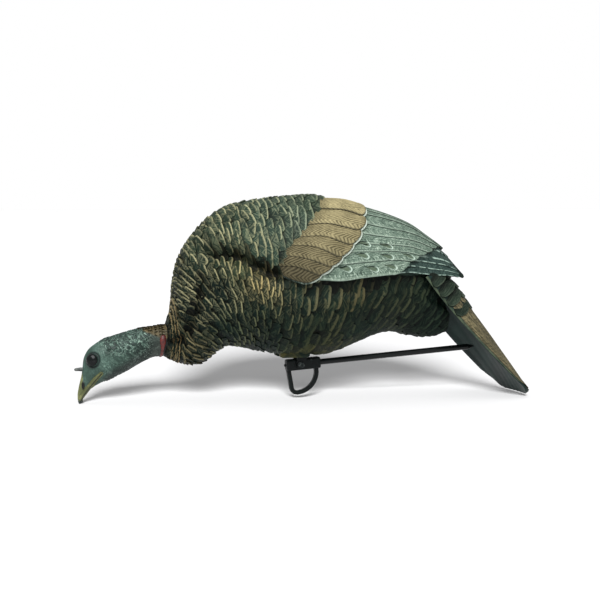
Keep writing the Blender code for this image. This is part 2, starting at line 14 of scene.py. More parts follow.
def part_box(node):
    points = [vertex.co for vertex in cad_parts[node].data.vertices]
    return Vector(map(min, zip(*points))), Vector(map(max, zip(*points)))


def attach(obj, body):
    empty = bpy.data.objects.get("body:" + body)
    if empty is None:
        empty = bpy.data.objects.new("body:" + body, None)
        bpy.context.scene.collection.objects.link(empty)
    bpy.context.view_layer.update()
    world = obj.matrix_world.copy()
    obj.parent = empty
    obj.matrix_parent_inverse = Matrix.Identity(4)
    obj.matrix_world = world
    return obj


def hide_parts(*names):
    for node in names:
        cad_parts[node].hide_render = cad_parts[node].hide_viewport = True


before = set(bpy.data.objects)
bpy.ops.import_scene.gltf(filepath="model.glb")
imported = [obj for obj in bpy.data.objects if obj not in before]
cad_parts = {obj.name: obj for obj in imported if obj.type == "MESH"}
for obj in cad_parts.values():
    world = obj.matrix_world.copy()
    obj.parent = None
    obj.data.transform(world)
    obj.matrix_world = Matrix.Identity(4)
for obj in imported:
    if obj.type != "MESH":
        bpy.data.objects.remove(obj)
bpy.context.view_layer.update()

MM = 0.001
SEED = 7

# The modelling frame's left eye sits here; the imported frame's eye says how far the part was moved.
EYE = (-284.0, 8.9, 57.8)
EYE_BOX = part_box("eye_left")
SHIFT = np.array([(EYE_BOX[0][k] + EYE_BOX[1][k]) / 2 - EYE[k] * MM if k != 1 else 0.0 for k in range(3)])

# Sections of the body and head: bottom x, bottom z, top x, top z, half width. The wings' are upright and
# have one x.
BODY_ROWS = np.array(
    [
        (-187.3, 61.5, -184.8, 104.0, 21.5),
        (-176.5, 58.5, -176.0, 120.0, 26.0),
        (-167.0, 54.5, -173.0, 138.0, 32.0),
        (-156.5, 51.5, -172.5, 157.0, 37.5),
        (-146.0, 50.0, -169.5, 177.0, 44.5),
        (-135.0, 53.0, -162.0, 199.0, 52.5),
        (-124.0, 61.5, -147.0, 221.5, 60.5),
        (-113.0, 70.0, -126.5, 244.5, 69.0),
        (-101.0, 76.0, -100.0, 260.0, 77.0),
        (-80.0, 73.5, -75.0, 267.0, 84.0),
        (-50.0, 66.5, -45.0, 271.0, 91.0),
        (-20.0, 62.0, -15.0, 274.0, 95.0),
        (10.0, 61.0, 12.0, 274.0, 96.0),
        (35.0, 63.0, 36.0, 271.0, 95.0),
        (58.0, 71.0, 60.0, 268.0, 92.0),
        (80.0, 80.0, 84.0, 261.0, 86.0),
        (104.0, 89.0, 110.0, 253.0, 79.0),
        (126.0, 92.0, 134.0, 244.0, 71.0),
        (148.0, 87.0, 154.0, 233.0, 61.0),
        (170.0, 83.5, 174.0, 211.0, 50.0),
        (188.0, 85.0, 186.0, 190.0, 44.0),
        (202.0, 90.0, 194.0, 164.0, 36.0),
    ]
)
WING_SECTIONS = [
    (-60.0, 68.0, 269.0, 88.0),
    (-20.0, 62.0, 274.0, 95.0),
    (10.0, 61.0, 274.5, 96.0),
    (35.0, 63.0, 271.0, 95.0),
    (60.0, 71.0, 268.0, 92.0),
    (84.0, 80.0, 261.0, 86.0),
    (110.0, 89.0, 253.0, 79.0),
    (134.0, 92.0, 244.0, 71.0),
    (154.0, 90.0, 234.5, 61.5),
    (174.0, 95.0, 220.5, 52.0),
    (190.0, 105.0, 208.5, 46.0),
    (206.0, 120.0, 193.5, 39.0),
    (218.0, 132.0, 180.5, 33.0),
    (229.0, 143.0, 170.0, 24.0),
]
WING_ROWS = np.array(
    [(x, bottom, x, top, half_width) for x, bottom, top, half_width in WING_SECTIONS]
)
HEAD_ROWS = np.array(
    [
        (-184.0, 62.5, -183.0, 104.0, 19.6),
        (-190.5, 61.0, -190.3, 103.0, 20.3),
        (-196.0, 61.0, -195.0, 102.6, 19.9),
        (-203.0, 60.0, -200.0, 101.6, 19.6),
        (-213.0, 56.0, -208.0, 100.4, 20.0),
        (-224.0, 50.0, -219.0, 99.0, 20.5),
        (-235.0, 43.5, -230.0, 96.5, 21.0),
        (-246.0, 38.0, -242.0, 93.0, 21.5),
        (-256.0, 33.0, -254.0, 89.5, 21.5),
        (-263.0, 30.0, -266.0, 86.0, 21.0),
        (-267.5, 29.0, -278.0, 79.5, 19.3),
        (-270.5, 28.0, -287.5, 72.0, 16.8),
        (-273.0, 26.5, -293.5, 61.0, 13.4),
        (-276.0, 25.0, -295.4, 49.0, 10.6),
        (-280.0, 22.6, -297.0, 37.0, 8.6),
        (-284.5, 18.8, -300.0, 25.0, 6.8),
        (-289.0, 13.0, -302.0, 14.0, 4.9),
        (-294.2, 6.2, -302.2, 6.0, 3.3),
        (-294.6, 2.4, -302.0, 2.2, 2.8),
        (-296.2, 0.4, -301.0, 0.3, 1.7),
    ]
)

# The tail fan: s runs down the fan, v across it from -1 to 1, n out of its upper face.
FAN_ORIGIN = np.array([199.5, 0.0, 169.0])
FAN_SLOPE = math.radians(52.5)
FAN_DOWN = np.array([math.cos(FAN_SLOPE), 0.0, -math.sin(FAN_SLOPE)])
FAN_OUT = np.array([math.sin(FAN_SLOPE), 0.0, math.cos(FAN_SLOPE)])
FAN_LENGTH = 199.0
FAN_ROOT_SAG, FAN_END_SAG = 35.0, 4.0
FAN_CURL = 9.0
FAN_ROOT_HALF_WIDTH, FAN_END_HALF_WIDTH = 64.0, 75.0
FAN_WIDENING = (0.0, 130.0)
FAN_CORNER_DROP = 35.0
FAN_START_DROP = 22.0
COVERT_HEIGHT = 2.8


# ---------------------------------------------------------------- shapes


def placed(points):
    """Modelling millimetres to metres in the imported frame."""
    return np.asarray(points) * MM + SHIFT


def smoothstep(low, high, value):
    t = np.clip((np.asarray(value, float) - low) / (high - low), 0.0, 1.0)
    return t * t * (3.0 - 2.0 * t)


def spline(rows, u):
    """Catmull-Rom rows at fractional row numbers u."""
    padded = np.vstack([2 * rows[0] - rows[1], rows, 2 * rows[-1] - rows[-2]])
    u = np.clip(u, 0.0, len(rows) - 1 - 1e-9)
    index = np.floor(u).astype(int)
    t = (u - index)[..., None]
    a, b, c, d = padded[index], padded[index + 1], padded[index + 2], padded[index + 3]
    return 0.5 * (2 * b + (c - a) * t + (2 * a - 5 * b + 4 * c - d) * t**2 + (3 * b - a - 3 * c + d) * t**3)


class Loft:
    """An oval skin through rows of sections, addressed by row number and angle; angle 0 is the top."""

    def __init__(self, rows, relief=None):
        self.rows = rows
        self.relief = relief

    def point(self, u, angle):
        s = spline(self.rows, u)
        across, along = np.sin(angle), np.cos(angle)
        x = (s[..., 0] + s[..., 2]) / 2 + along * (s[..., 2] - s[..., 0]) / 2
        z = (s[..., 1] + s[..., 3]) / 2 + along * (s[..., 3] - s[..., 1]) / 2
        return np.stack([x, -s[..., 4] * across, z], -1)

    def slopes(self, u, angle):
        step = 0.01
        du = (self.point(u + step, angle) - self.point(u - step, angle)) / (2 * step)
        da = (self.point(u, angle + step) - self.point(u, angle - step)) / (2 * step)
        return du, da

    def normal(self, u, angle):
        inside = np.clip(u, 0.02, len(self.rows) - 1.02)
        du, da = self.slopes(inside, angle)
        across = np.cross(da, du)
        return across / np.linalg.norm(across, axis=-1, keepdims=True)

    def at(self, u, angle, lift=0.0):
        points = self.point(u, angle)
        raised = np.broadcast_to(lift, points.shape[:-1])
        if self.relief is not None:
            raised = raised + self.relief(points, angle)
        return points + self.normal(u, angle) * raised[..., None]


def distance_to_path(points, path):
    """Distance in x and z from points to a chain of straight runs."""
    flat = points[..., [0, 2]]
    nearest = np.full(flat.shape[:-1], 1e9)
    for start, end in zip(path[:-1], path[1:]):
        start, end = np.array(start), np.array(end)
        run = end - start
        t = np.clip(((flat - start) @ run) / (run @ run), 0.0, 1.0)
        nearest = np.minimum(nearest, np.linalg.norm(flat - start - t[..., None] * run, axis=-1))
    return nearest


# Deep folds moulded into the body's side, in x and z.
SHOULDER_FOLD = [(-136, 196), (-123, 199), (-106, 197), (-93, 190), (-79, 181), (-64, 174), (-48, 171)]
BREAST_CREASE = [(-147, 164), (-152, 146), (-155, 126), (-157, 109), (-162, 96), (-168, 86), (-181, 79)]
FOLD_DEPTH, FOLD_WIDTH = 16.0, 9.5
CREASE_DEPTH, CREASE_WIDTH = 6.5, 5.0
WING_SEAT_DEPTH = 5.2
WING_SEAT_FROM_COSINE = (-0.32, -0.17)
CAPE_RISE = 2.2
UNDER_FOLD_RISE = 4.0

# The front edge of the wings, where the cape's feathers end: x by degrees from the top.
CAPE_DEGREES = (0, 10, 28, 38, 48, 57, 63, 69, 81, 90, 100)
CAPE_X = (25, 21, 11, 3, -8, -22, -34, -46, -48, -45, -44)


def cape_edge(angle):
    """x of the cape's rear edge at this angle from the top."""
    degrees = np.abs(np.degrees(np.angle(np.exp(1j * np.asarray(angle)))))
    return np.interp(degrees, CAPE_DEGREES, CAPE_X)


def groove(points, path, width):
    """1 in the middle of a groove along the path, and next to 0 a few widths away from it."""
    return np.exp(-((distance_to_path(points, path) / width) ** 2))


def body_relief(points, angle):
    """Heights of the body's large forms over its plain sections: folds, the wings' seats and the cape."""
    x, z = points[..., 0], points[..., 2]
    side = np.abs(np.sin(angle)) > 0.3
    folds = FOLD_DEPTH * groove(points, SHOULDER_FOLD, FOLD_WIDTH)
    folds = folds + CREASE_DEPTH * groove(points, BREAST_CREASE, CREASE_WIDTH)
    behind_cape = x - cape_edge(angle)
    seat = smoothstep(6.0, 18.0, behind_cape) * smoothstep(*WING_SEAT_FROM_COSINE, np.cos(angle))
    cape = np.exp(-(((behind_cape + 6.0) / 22.0) ** 2)) * smoothstep(0.0, 0.3, np.cos(angle))
    under_fold = np.exp(-(((x + 95) / 34) ** 2) - ((z - 172) / 11) ** 2)
    return UNDER_FOLD_RISE * under_fold * side + CAPE_RISE * cape - folds * side - WING_SEAT_DEPTH * seat


BODY = Loft(BODY_ROWS, body_relief)
WING = Loft(WING_ROWS)


class WingSkin:
    """The wing's skin addressed by x in millimetres and angle in degrees."""

    def at(self, x, degrees, lift=0.0):
        u = np.interp(x, WING_ROWS[:, 0], np.arange(len(WING_ROWS)))
        return WING.at(u, np.radians(degrees), lift)


class FanSkin:
    """The tail fan's upper face addressed by s in millimetres and v from -1 to 1."""

    def at(self, s, v, lift=0.0):
        edge = np.abs(v)
        widening = (FAN_END_HALF_WIDTH - FAN_ROOT_HALF_WIDTH) * smoothstep(*FAN_WIDENING, s)
        half_width = FAN_ROOT_HALF_WIDTH + widening
        sag = FAN_ROOT_SAG + (FAN_END_SAG - FAN_ROOT_SAG) * (np.maximum(s, 0.0) / FAN_LENGTH) ** 2
        covered = smoothstep(0.0, 18.0, s) * (1.0 - smoothstep(44.0, 66.0, s)) * (1.0 - edge**4)
        bend = 3.0 * sag * edge**2 * np.sign(v) / half_width
        out = FAN_OUT + np.multiply.outer(bend, np.array([0.0, 1.0, 0.0]))
        out = out / np.linalg.norm(out, axis=-1, keepdims=True)
        curl = FAN_CURL * (np.maximum(s, 0.0) / FAN_LENGTH) ** 3
        rise = COVERT_HEIGHT * covered - sag * edge**3 - curl
        base = FAN_ORIGIN + np.multiply.outer(s, FAN_DOWN) + np.multiply.outer(rise, FAN_OUT)
        base[..., 1] += v * half_width
        return base + out * np.broadcast_to(lift, edge.shape)[..., None]


def fan_end(v):
    return FAN_LENGTH - FAN_CORNER_DROP * np.abs(v) ** 7


def fan_start(v):
    return -FAN_START_DROP * smoothstep(0.7, 1.0, np.abs(v))


# ---------------------------------------------------------------- meshes


def add_mesh(name, points, faces, facts, material, smooth=True):
    """One object from modelling millimetres; facts are named numbers or colours for each point."""
    mesh = bpy.data.meshes.new(name)
    mesh.from_pydata(placed(points).tolist(), [], faces)
    mesh.polygons.foreach_set("use_smooth", [smooth] * len(mesh.polygons))
    for fact, values in facts.items():
        values = np.asarray(values, np.float32)
        if values.ndim == 2:
            layer = mesh.attributes.new(fact, "FLOAT_COLOR", "POINT")
            rgba = np.ones((len(values), 4), np.float32)
            rgba[:, :3] = values
            layer.data.foreach_set("color", rgba.ravel())
        else:
            layer = mesh.attributes.new(fact, "FLOAT", "POINT")
            layer.data.foreach_set("value", values)
    mesh.materials.append(material)
    made = bpy.data.objects.new(name, mesh)
    bpy.context.collection.objects.link(made)
    return made


def grid_faces(rows, columns, closed=False, flip=False):
    """Quads between the points of a grid; a closed grid's last column joins its first."""
    last = columns if closed else columns - 1
    row, column = np.meshgrid(np.arange(rows - 1), np.arange(last), indexing="ij")
    row, column = row.ravel(), column.ravel()
    following = (column + 1) % columns
    here, there = row * columns, (row + 1) * columns
    quads = np.stack([here + column, there + column, there + following, here + following], -1)
    return quads[:, ::-1] if flip else quads


def rim_loop(rows, columns):
    """The points round the edge of a grid, in order."""
    index = np.arange(rows * columns).reshape(rows, columns)
    return np.concatenate([index[:, 0], index[-1, 1:], index[-2::-1, -1], index[0, -2:0:-1]])


def closed_sheet(outer, inner, rows, columns, flip=False):
    """Joins an outer and an inner grid of points into one closed sheet."""
    loop = rim_loop(rows, columns)
    following = np.roll(loop, -1)
    wall = np.stack([loop + len(outer), following + len(outer), following, loop], -1)
    lower = grid_faces(rows, columns, flip=True) + len(outer)
    faces = np.vstack([grid_faces(rows, columns), lower, wall])
    return np.vstack([outer, inner]), faces[:, ::-1] if flip else faces


def reflected(points, faces):
    """The same surface on the bird's other side."""
    return points * (1, -1, 1), faces[:, ::-1]


def loft_grid(loft, rows, columns):
    """Row numbers and angles of a grid all round a loft."""
    u = np.linspace(0.0, len(loft.rows) - 1.0, rows)
    angle = np.linspace(0, 2 * math.pi, columns, endpoint=False)
    return np.meshgrid(u, angle, indexing="ij")


def cap(points, faces, start, columns, shares=()):
    """Closes a ring of points: rings at these shares of its size, then a hub.

    The faces are added to the list of faces and the points are returned with the new ones added.
    """
    ring = points[start : start + columns]
    middle = ring.mean(0)
    outside = start
    inside = len(points)
    order = 1 if start == 0 else -1
    for _ in shares:
        for k in range(columns):
            following = (k + 1) % columns
            faces.append([outside + k, outside + following, inside + following, inside + k][::order])
        outside = inside
        inside += columns
    for k in range(columns):
        faces.append([outside + k, outside + (k + 1) % columns, inside][::order])
    rings = [middle + (ring - middle) * share for share in shares]
    return np.vstack([points, *rings, middle[None]])


BLADE_ROWS = 10
BLADE_COLUMNS = 11


def blade_template(rows, columns):
    """Along and across values of one feather's grid, its faces with a skirt, and its rim."""
    along, across = np.meshgrid(np.linspace(0, 1, rows), np.linspace(-1, 1, columns), indexing="ij")
    rim = rim_loop(rows, columns)
    top_rim = rows * columns + np.arange(len(rim))
    low_rim = top_rim + len(rim)
    skirt = np.stack([top_rim, np.roll(top_rim, -1), np.roll(low_rim, -1), low_rim], -1)
    return along.ravel(), across.ravel(), np.vstack([grid_faces(rows, columns), skirt]), rim


def with_skirt(values, rim):
    """Values of a feather's upper points, then its rim's again for the top and the bottom of its skirt."""
    return np.concatenate([values, values[rim], values[rim]])


def skirt_mask(count, rim):
    """1 on top of a feather, about a half round its rim and 0 at the bottom of its skirt; the paints darken
    the skirt by it as painted shade.
    """
    return np.concatenate([np.ones(count), np.full(len(rim), 0.55), np.zeros(len(rim))])


def blade(root, end, half, root_share=0.8, **shape):
    """One feather for feathers(): the middles of its root and end, half its width, and the rest by name."""
    sides = {"root": [root - half * root_share, root + half * root_share], "end": [end - half, end + half]}
    return {**sides, **shape}


def feathers(name, skin, blades, material, rows=BLADE_ROWS, columns=BLADE_COLUMNS):
    """Feathers laid on a skin. Each blade is a dict:

    root, end: two skin places each, the sides of the feather at its root and where its tip starts
    tip: how far the tip bulges, in skin units; square: the tip's shape, 2 round and 4 nearly square
    taper: how much narrower the feather is at its root
    lift: heights in millimetres at the root and the tip; tilt: how much higher one side stands
    crown: how much the middle stands up; lip: how much the tip's edge does
    dip: how deep its skirt goes; length, width: millimetres, for the barbs' scale
    seed: a number from 0 to 1 for the paint; base, edge: colours
    """
    along, across, quads, rim = blade_template(rows, columns)
    side = (across + 1) / 2
    left, right = (1 - side)[None, :, None], side[None, :, None]
    near, far = (1 - along)[None, :, None], along[None, :, None]
    count = len(blades)
    pack = {key: np.array([one[key] for one in blades], float) for key in blades[0]}
    root = pack["root"][:, :1] * left + pack["root"][:, 1:] * right
    end = pack["end"][:, :1] * left + pack["end"][:, 1:] * right
    middle = pack["root"].mean(1)[:, None] * near + pack["end"].mean(1)[:, None] * far
    square = pack["square"][:, None]
    bulge = (1 - np.abs(across)[None, :] ** square) ** (1 / square)
    narrow = 1 - pack["taper"][:, None] * (1 - along[None, :]) ** 2
    place = middle + (root * near + end * far - middle) * narrow[..., None]
    place = place + pack["tip"][:, None, :] * (bulge * along[None, :] ** 2)[..., None]
    lift = pack["lift"][:, :1] + (pack["lift"][:, 1:] - pack["lift"][:, :1]) * along[None, :]
    lift = lift + pack["crown"][:, None] * (1 - across[None, :] ** 2)
    lift = lift + pack["tilt"][:, None] * across[None, :]
    lift = lift + pack["lip"][:, None] * np.exp(-(((1 - along[None, :]) / 0.14) ** 2))
    top = skin.at(place[..., 0], place[..., 1], lift)
    low = skin.at(place[:, rim, 0], place[:, rim, 1], lift[:, rim] - pack["dip"][:, None])
    points = np.concatenate([top, top[:, rim], low], 1)
    each = points.shape[1]
    all_along, all_across = with_skirt(along, rim), with_skirt(across, rim)
    facts = {
        "along": np.tile(all_along, count),
        "across": np.tile(all_across, count),
        "barb_a": (all_along[None, :] * pack["length"][:, None]).ravel(),
        "barb_b": (all_across[None, :] * pack["width"][:, None] / 2).ravel(),
        "top": np.tile(skirt_mask(len(along), rim), count),
        "seed": np.repeat(pack["seed"], each),
        "base": np.repeat(pack["base"], each, 0),
        "edge": np.repeat(pack["edge"], each, 0),
    }
    faces = (quads[None] + (np.arange(count) * each)[:, None, None]).reshape(-1, 4)
    return add_mesh(name, points.reshape(-1, 3), faces.tolist(), facts, material)


# ---------------------------------------------------------------- paint


def paint(red, green, blue):
    """An sRGB colour in 0 to 255, as the linear numbers that shaders take."""
    values = np.array([red, green, blue]) / 255.0
    return np.where(values <= 0.04045, values / 12.92, ((values + 0.055) / 1.055) ** 2.4)


class Nodes:
    """Short names for the shader nodes of one material."""

    def __init__(self, name, roughness=0.6, metallic=0.0, specular=0.35):
        self.material = bpy.data.materials.new(name)
        self.material.use_nodes = True
        self.tree = self.material.node_tree
        self.shader = self.tree.nodes["Principled BSDF"]
        self.shader.inputs["Roughness"].default_value = roughness
        self.shader.inputs["Metallic"].default_value = metallic
        self.shader.inputs["Specular IOR Level"].default_value = specular

    def plug(self, socket, value):
        if isinstance(value, bpy.types.NodeSocket):
            self.tree.links.new(value, socket)
        elif isinstance(value, (tuple, list, np.ndarray)) and len(value) == 3 and socket.type == "RGBA":
            socket.default_value = (*[float(v) for v in value], 1.0)
        else:
            socket.default_value = value

    def attribute(self, name, colour=False):
        made = self.tree.nodes.new("ShaderNodeAttribute")
        made.attribute_name = name
        return made.outputs["Color" if colour else "Fac"]

    def math(self, operation, first, second=0.0, clamp=False):
        made = self.tree.nodes.new("ShaderNodeMath")
        made.operation = operation
        made.use_clamp = clamp
        self.plug(made.inputs[0], first)
        self.plug(made.inputs[1], second)
        return made.outputs[0]

    def plus(self, first, second, clamp=False):
        return self.math("ADD", first, second, clamp)

    def minus(self, first, second):
        return self.math("SUBTRACT", first, second)

    def times(self, first, second):
        return self.math("MULTIPLY", first, second)

    def size(self, value):
        return self.math("ABSOLUTE", value)

    def span(self, value, low, high, to_low=0.0, to_high=1.0):
        made = self.tree.nodes.new("ShaderNodeMapRange")
        made.interpolation_type = "SMOOTHSTEP"
        self.plug(made.inputs["Value"], value)
        made.inputs["From Min"].default_value = low
        made.inputs["From Max"].default_value = high
        made.inputs["To Min"].default_value = to_low
        made.inputs["To Max"].default_value = to_high
        return made.outputs["Result"]

    def mix(self, share, first, second, blend="MIX"):
        made = self.tree.nodes.new("ShaderNodeMix")
        made.data_type = "RGBA"
        made.blend_type = blend
        self.plug(made.inputs["Factor"], share)
        colour_inputs = [item for item in made.inputs if item.type == "RGBA"]
        self.plug(colour_inputs[0], first)
        self.plug(colour_inputs[1], second)
        return [item for item in made.outputs if item.type == "RGBA"][0]

    def tint(self, colour, factor):
        return self.mix(1.0, colour, factor, "MULTIPLY")

    def dim(self, colour, value):
        """A colour made darker by a number from 0 to 1."""
        grey = self.tree.nodes.new("ShaderNodeCombineColor")
        for index in range(3):
            self.plug(grey.inputs[index], value)
        return self.tint(colour, grey.outputs[0])

    def paint_skirt_shade(self, colour, floor):
        """Painted shade on the sides of a feather: darkens them down to this share of the colour at the
        bottom.
        """
        return self.dim(colour, self.span(self.attribute("top"), 0.0, 1.0, floor, 1.0))

    def place(self):
        return self.tree.nodes.new("ShaderNodeTexCoord").outputs["Object"]

    def noise(self, scale, detail=3.0, roughness=0.55, vector=None):
        made = self.tree.nodes.new("ShaderNodeTexNoise")
        made.inputs["Scale"].default_value = scale
        made.inputs["Detail"].default_value = detail
        made.inputs["Roughness"].default_value = roughness
        self.plug(made.inputs["Vector"], vector if vector is not None else self.place())
        return made.outputs["Fac"]

    def stretch(self, *values):
        made = self.tree.nodes.new("ShaderNodeCombineXYZ")
        for socket, value in zip(made.inputs, values):
            self.plug(socket, value)
        return made.outputs[0]

    def hatch(self, scale, slant):
        """Oblique streaks either side of the shaft, in millimetres across: fine lines along the barbs."""
        side = self.times(self.size(self.attribute("barb_b")), slant)
        across_barbs = self.times(self.minus(self.attribute("barb_a"), side), 1.0 / scale)
        along_barbs = self.times(self.plus(self.attribute("barb_a"), side), 0.12 / scale)
        apart = self.times(self.attribute("seed"), 60.0)
        return self.noise(1.0, 2.0, 0.5, self.stretch(across_barbs, along_barbs, apart))

    def lengthways(self, along, across, apart, roughness):
        """Streaks along a feather: scales along and across it, and how far apart feathers' streaks are."""
        x = self.times(self.attribute("barb_a"), along)
        y = self.times(self.attribute("barb_b"), across)
        return self.noise(1.0, 3.0, roughness, self.stretch(x, y, self.times(self.attribute("seed"), apart)))

    def bump(self, height, strength, distance, below=None):
        made = self.tree.nodes.new("ShaderNodeBump")
        made.inputs["Strength"].default_value = strength
        made.inputs["Distance"].default_value = distance
        self.plug(made.inputs["Height"], height)
        if below is not None:
            self.plug(made.inputs["Normal"], below)
        return made.outputs["Normal"]

    def finish(self, colour, normal=None, roughness=None):
        self.plug(self.shader.inputs["Base Color"], colour)
        if normal is not None:
            self.plug(self.shader.inputs["Normal"], normal)
        if roughness is not None:
            self.plug(self.shader.inputs["Roughness"], roughness)
        return self.material


def feather_paint(name, stroke=1.0, thin=0.935, barb=0.6, barb_scale=1.7, slant=0.8, wear=0.42):
    """Moulded feather: painted shade in the valleys under the overlapping feathers and on the skirts,
    oblique barbs and a dry-brushed line of paint at the tip.

    stroke: how strong the line is; thin: where it starts along the feather; wear: how much is rubbed off
    barb, barb_scale, slant: how dark, how wide in millimetres and how oblique the barbs are
    """
    n = Nodes(name, roughness=0.65, specular=0.09)
    along, across = n.attribute("along"), n.attribute("across")
    seed = n.attribute("seed")
    base, edge = n.attribute("base", True), n.attribute("edge", True)
    barbs = n.span(n.hatch(barb_scale, slant), 0.40, 0.58)
    grime = n.noise(48.0, 4.0, 0.6)
    crackle = n.noise(520.0, 3.0, 0.72)
    dark = n.tint(base, (0.30, 0.36, 0.36))
    colour = n.mix(n.span(grime, 0.35, 0.65, 0.15, 1.0), dark, base)
    colour = n.mix(n.times(barbs, barb), colour, dark)
    colour = n.mix(n.span(barbs, 0.35, 0.0, 0.0, 0.22), colour, edge)
    # Painted shade: each feather darkens towards its root, where the feather before it lies over it.
    valley = n.span(along, 0.45, 0.80, 0.35, 1.0)
    colour = n.dim(colour, valley)
    ragged = n.plus(along, n.times(n.minus(crackle, 0.5), 0.16))
    line = n.times(n.span(ragged, thin - 0.035, thin + 0.03), n.span(n.size(across), 1.0, 0.8))
    worn = n.span(n.plus(n.noise(75.0, 3.0), n.times(seed, 0.22)), wear, wear + 0.22)
    strength = n.times(n.span(seed, 0.0, 1.0, 0.3, 1.0), stroke)
    brushed = n.times(line, n.times(worn, strength))
    dusty = n.times(n.span(n.minus(crackle, n.times(barbs, 0.12)), 0.52, 0.74), 0.24 * stroke)
    dusty = n.times(dusty, n.span(along, 0.5, 0.95))
    colour = n.mix(n.plus(brushed, dusty, clamp=True), colour, edge)
    colour = n.paint_skirt_shade(colour, 0.25)
    height = n.minus(n.times(crackle, 0.8), n.times(barbs, 0.6))
    return n.finish(colour, n.bump(height, 0.6, 0.0007), n.span(grime, 0.3, 0.7, 0.5, 0.7))


# ---------------------------------------------------------------- body plumage

# Paint zones on the body's side: x, z, base colour and dry-brush colour.
ZONES = [
    (-165, 70, paint(20, 35, 28), paint(118, 110, 80)),
    (-150, 110, paint(14, 31, 26), paint(138, 134, 102)),
    (-165, 160, paint(24, 39, 31), paint(150, 146, 112)),
    (-120, 100, paint(9, 29, 25), paint(72, 84, 62)),
    (-125, 150, paint(18, 36, 30), paint(146, 144, 110)),
    (-100, 178, paint(56, 66, 46), paint(164, 154, 110)),
    (-80, 165, paint(62, 62, 44), paint(176, 158, 108)),
    (-80, 120, paint(11, 32, 27), paint(80, 84, 60)),
    (-60, 80, paint(8, 27, 23), paint(44, 56, 40)),
    (-6, 66, paint(50, 53, 30), paint(88, 84, 48)),
    (-150, 215, paint(44, 58, 44), paint(144, 142, 110)),
    (-110, 230, paint(52, 68, 54), paint(148, 146, 112)),
    (-60, 240, paint(56, 72, 60), paint(138, 142, 112)),
    (-70, 200, paint(50, 69, 58), paint(142, 142, 110)),
    (-30, 215, paint(56, 70, 58), paint(120, 128, 106)),
    (-40, 190, paint(52, 66, 54), paint(122, 126, 102)),
    (0, 255, paint(60, 74, 58), paint(112, 120, 96)),
    (-20, 235, paint(58, 72, 60), paint(116, 126, 106)),
    (-25, 150, paint(18, 38, 31), paint(82, 80, 56)),
    (-10, 90, paint(11, 31, 24), paint(46, 55, 37)),
    (40, 145, paint(24, 40, 29), paint(76, 71, 47)),
    (60, 105, paint(13, 32, 25), paint(44, 53, 37)),
    (110, 140, paint(23, 37, 28), paint(56, 60, 42)),
    (150, 110, paint(11, 27, 21), paint(38, 50, 37)),
    (195, 100, paint(9, 24, 19), paint(30, 44, 34)),
    (190, 150, paint(10, 25, 20), paint(36, 48, 36)),
]
FLOW_CENTRE = (-58.0, 20.0)
NECK_SEAM = (-192.0, 0.0, 82.0)

# The wing's lower edge, under which painted shade darkens the flank: x and z.
WING_EDGE = ((-18, 18, 119, 195, 219), (162, 166, 169, 172, 168))


def zone_colours(x, z):
    """Base and dry-brush colours at a place on the body's side, blended from the zones round it, with
    painted shade in the folds, the breast crease and under the wing's lower edge.
    """
    places = np.array([(zone[0], zone[1]) for zone in ZONES], float)
    weights = 1.0 / ((places[:, 0] - x) ** 2 + (places[:, 1] - z) ** 2 + 80.0) ** 1.6
    weights = weights / weights.sum()
    base = sum(w * np.asarray(zone[2]) for w, zone in zip(weights, ZONES))
    edge = sum(w * np.asarray(zone[3]) for w, zone in zip(weights, ZONES))
    here = np.array([[x, 0.0, z]])
    fold = float(groove(here, SHOULDER_FOLD, FOLD_WIDTH)[0])
    crease = float(groove(here, BREAST_CREASE, 0.9 * CREASE_WIDTH)[0])
    below_wing = np.interp(x, *WING_EDGE) - z
    near_wing = float(1.0 - smoothstep(0.0, 9.0, below_wing))
    under = near_wing * float(smoothstep(-30.0, -5.0, x) * (below_wing > -14))
    # Painted shade: darker in the shoulder fold, in the breast crease and in a band under the wing's lower
    # edge.
    shade = 1.0 - 0.88 * max(fold, crease, under)
    return base * shade, edge * (0.35 * shade + 0.65 * shade**2)


def flow(point):
    """Which way the feathers lie: round the breast and back along the body, and outward round the neck."""
    x, z = point[0] - FLOW_CENTRE[0], point[2] - FLOW_CENTRE[1]
    lean = 1.0 if x < 0 else 0.35
    way = np.array([z, 0.0, -lean * x])
    seam = point - np.array(NECK_SEAM)
    near_seam = float(1.0 - smoothstep(22.0, 52.0, np.linalg.norm(seam)))
    way = way / np.linalg.norm(way)
    return way * (1 - near_seam) + near_seam * seam / np.linalg.norm(seam)


def feather_size(x, z):
    """Exposed length and width of a feather at this place, in millimetres."""
    neck = float(1.0 - smoothstep(-178.0, -150.0, x))
    shoulder = float(smoothstep(165.0, 200.0, z))
    rear = float(smoothstep(-70.0, 0.0, x)) * (1.0 - 0.85 * shoulder)
    far_rear = float(smoothstep(110.0, 160.0, x))
    length = 8.6 + 1.2 * shoulder + 4.6 * rear - 2.0 * neck - 1.0 * far_rear
    width = 15.0 + 6.0 * shoulder + 13.0 * rear - 3.5 * neck - 4.0 * far_rear
    return length, width


# Feathers are tried at this many places, and two may not be closer than this share of their size, squared.
FEATHER_TRIES = 52000
FEATHERS_AT_MOST = 6000
CLOSEST_REACH = 0.62

# Boxes round the belly boss, below one height, by x from, x to and half width: where no feather is laid,
# where none may reach because the stake's sleeve swings there, and where the boss replaces the skin.
BOSS_ZONE_TOP = 76.0
BARE_ZONE = (-60.0, 19.0, 19.0)
SLEEVE_ZONE = (-14.0, 14.0, 15.0)
BOSS_ZONE = (-53.0, 12.0, 22.0)


def in_zone(point, zone):
    x, y, z = point
    low, high, half_width = zone
    return low < x < high and abs(y) < half_width and z < BOSS_ZONE_TOP


def hidden_by_wing(x, angle):
    return abs(math.degrees(angle)) < 84 and x > cape_edge(angle) + 6


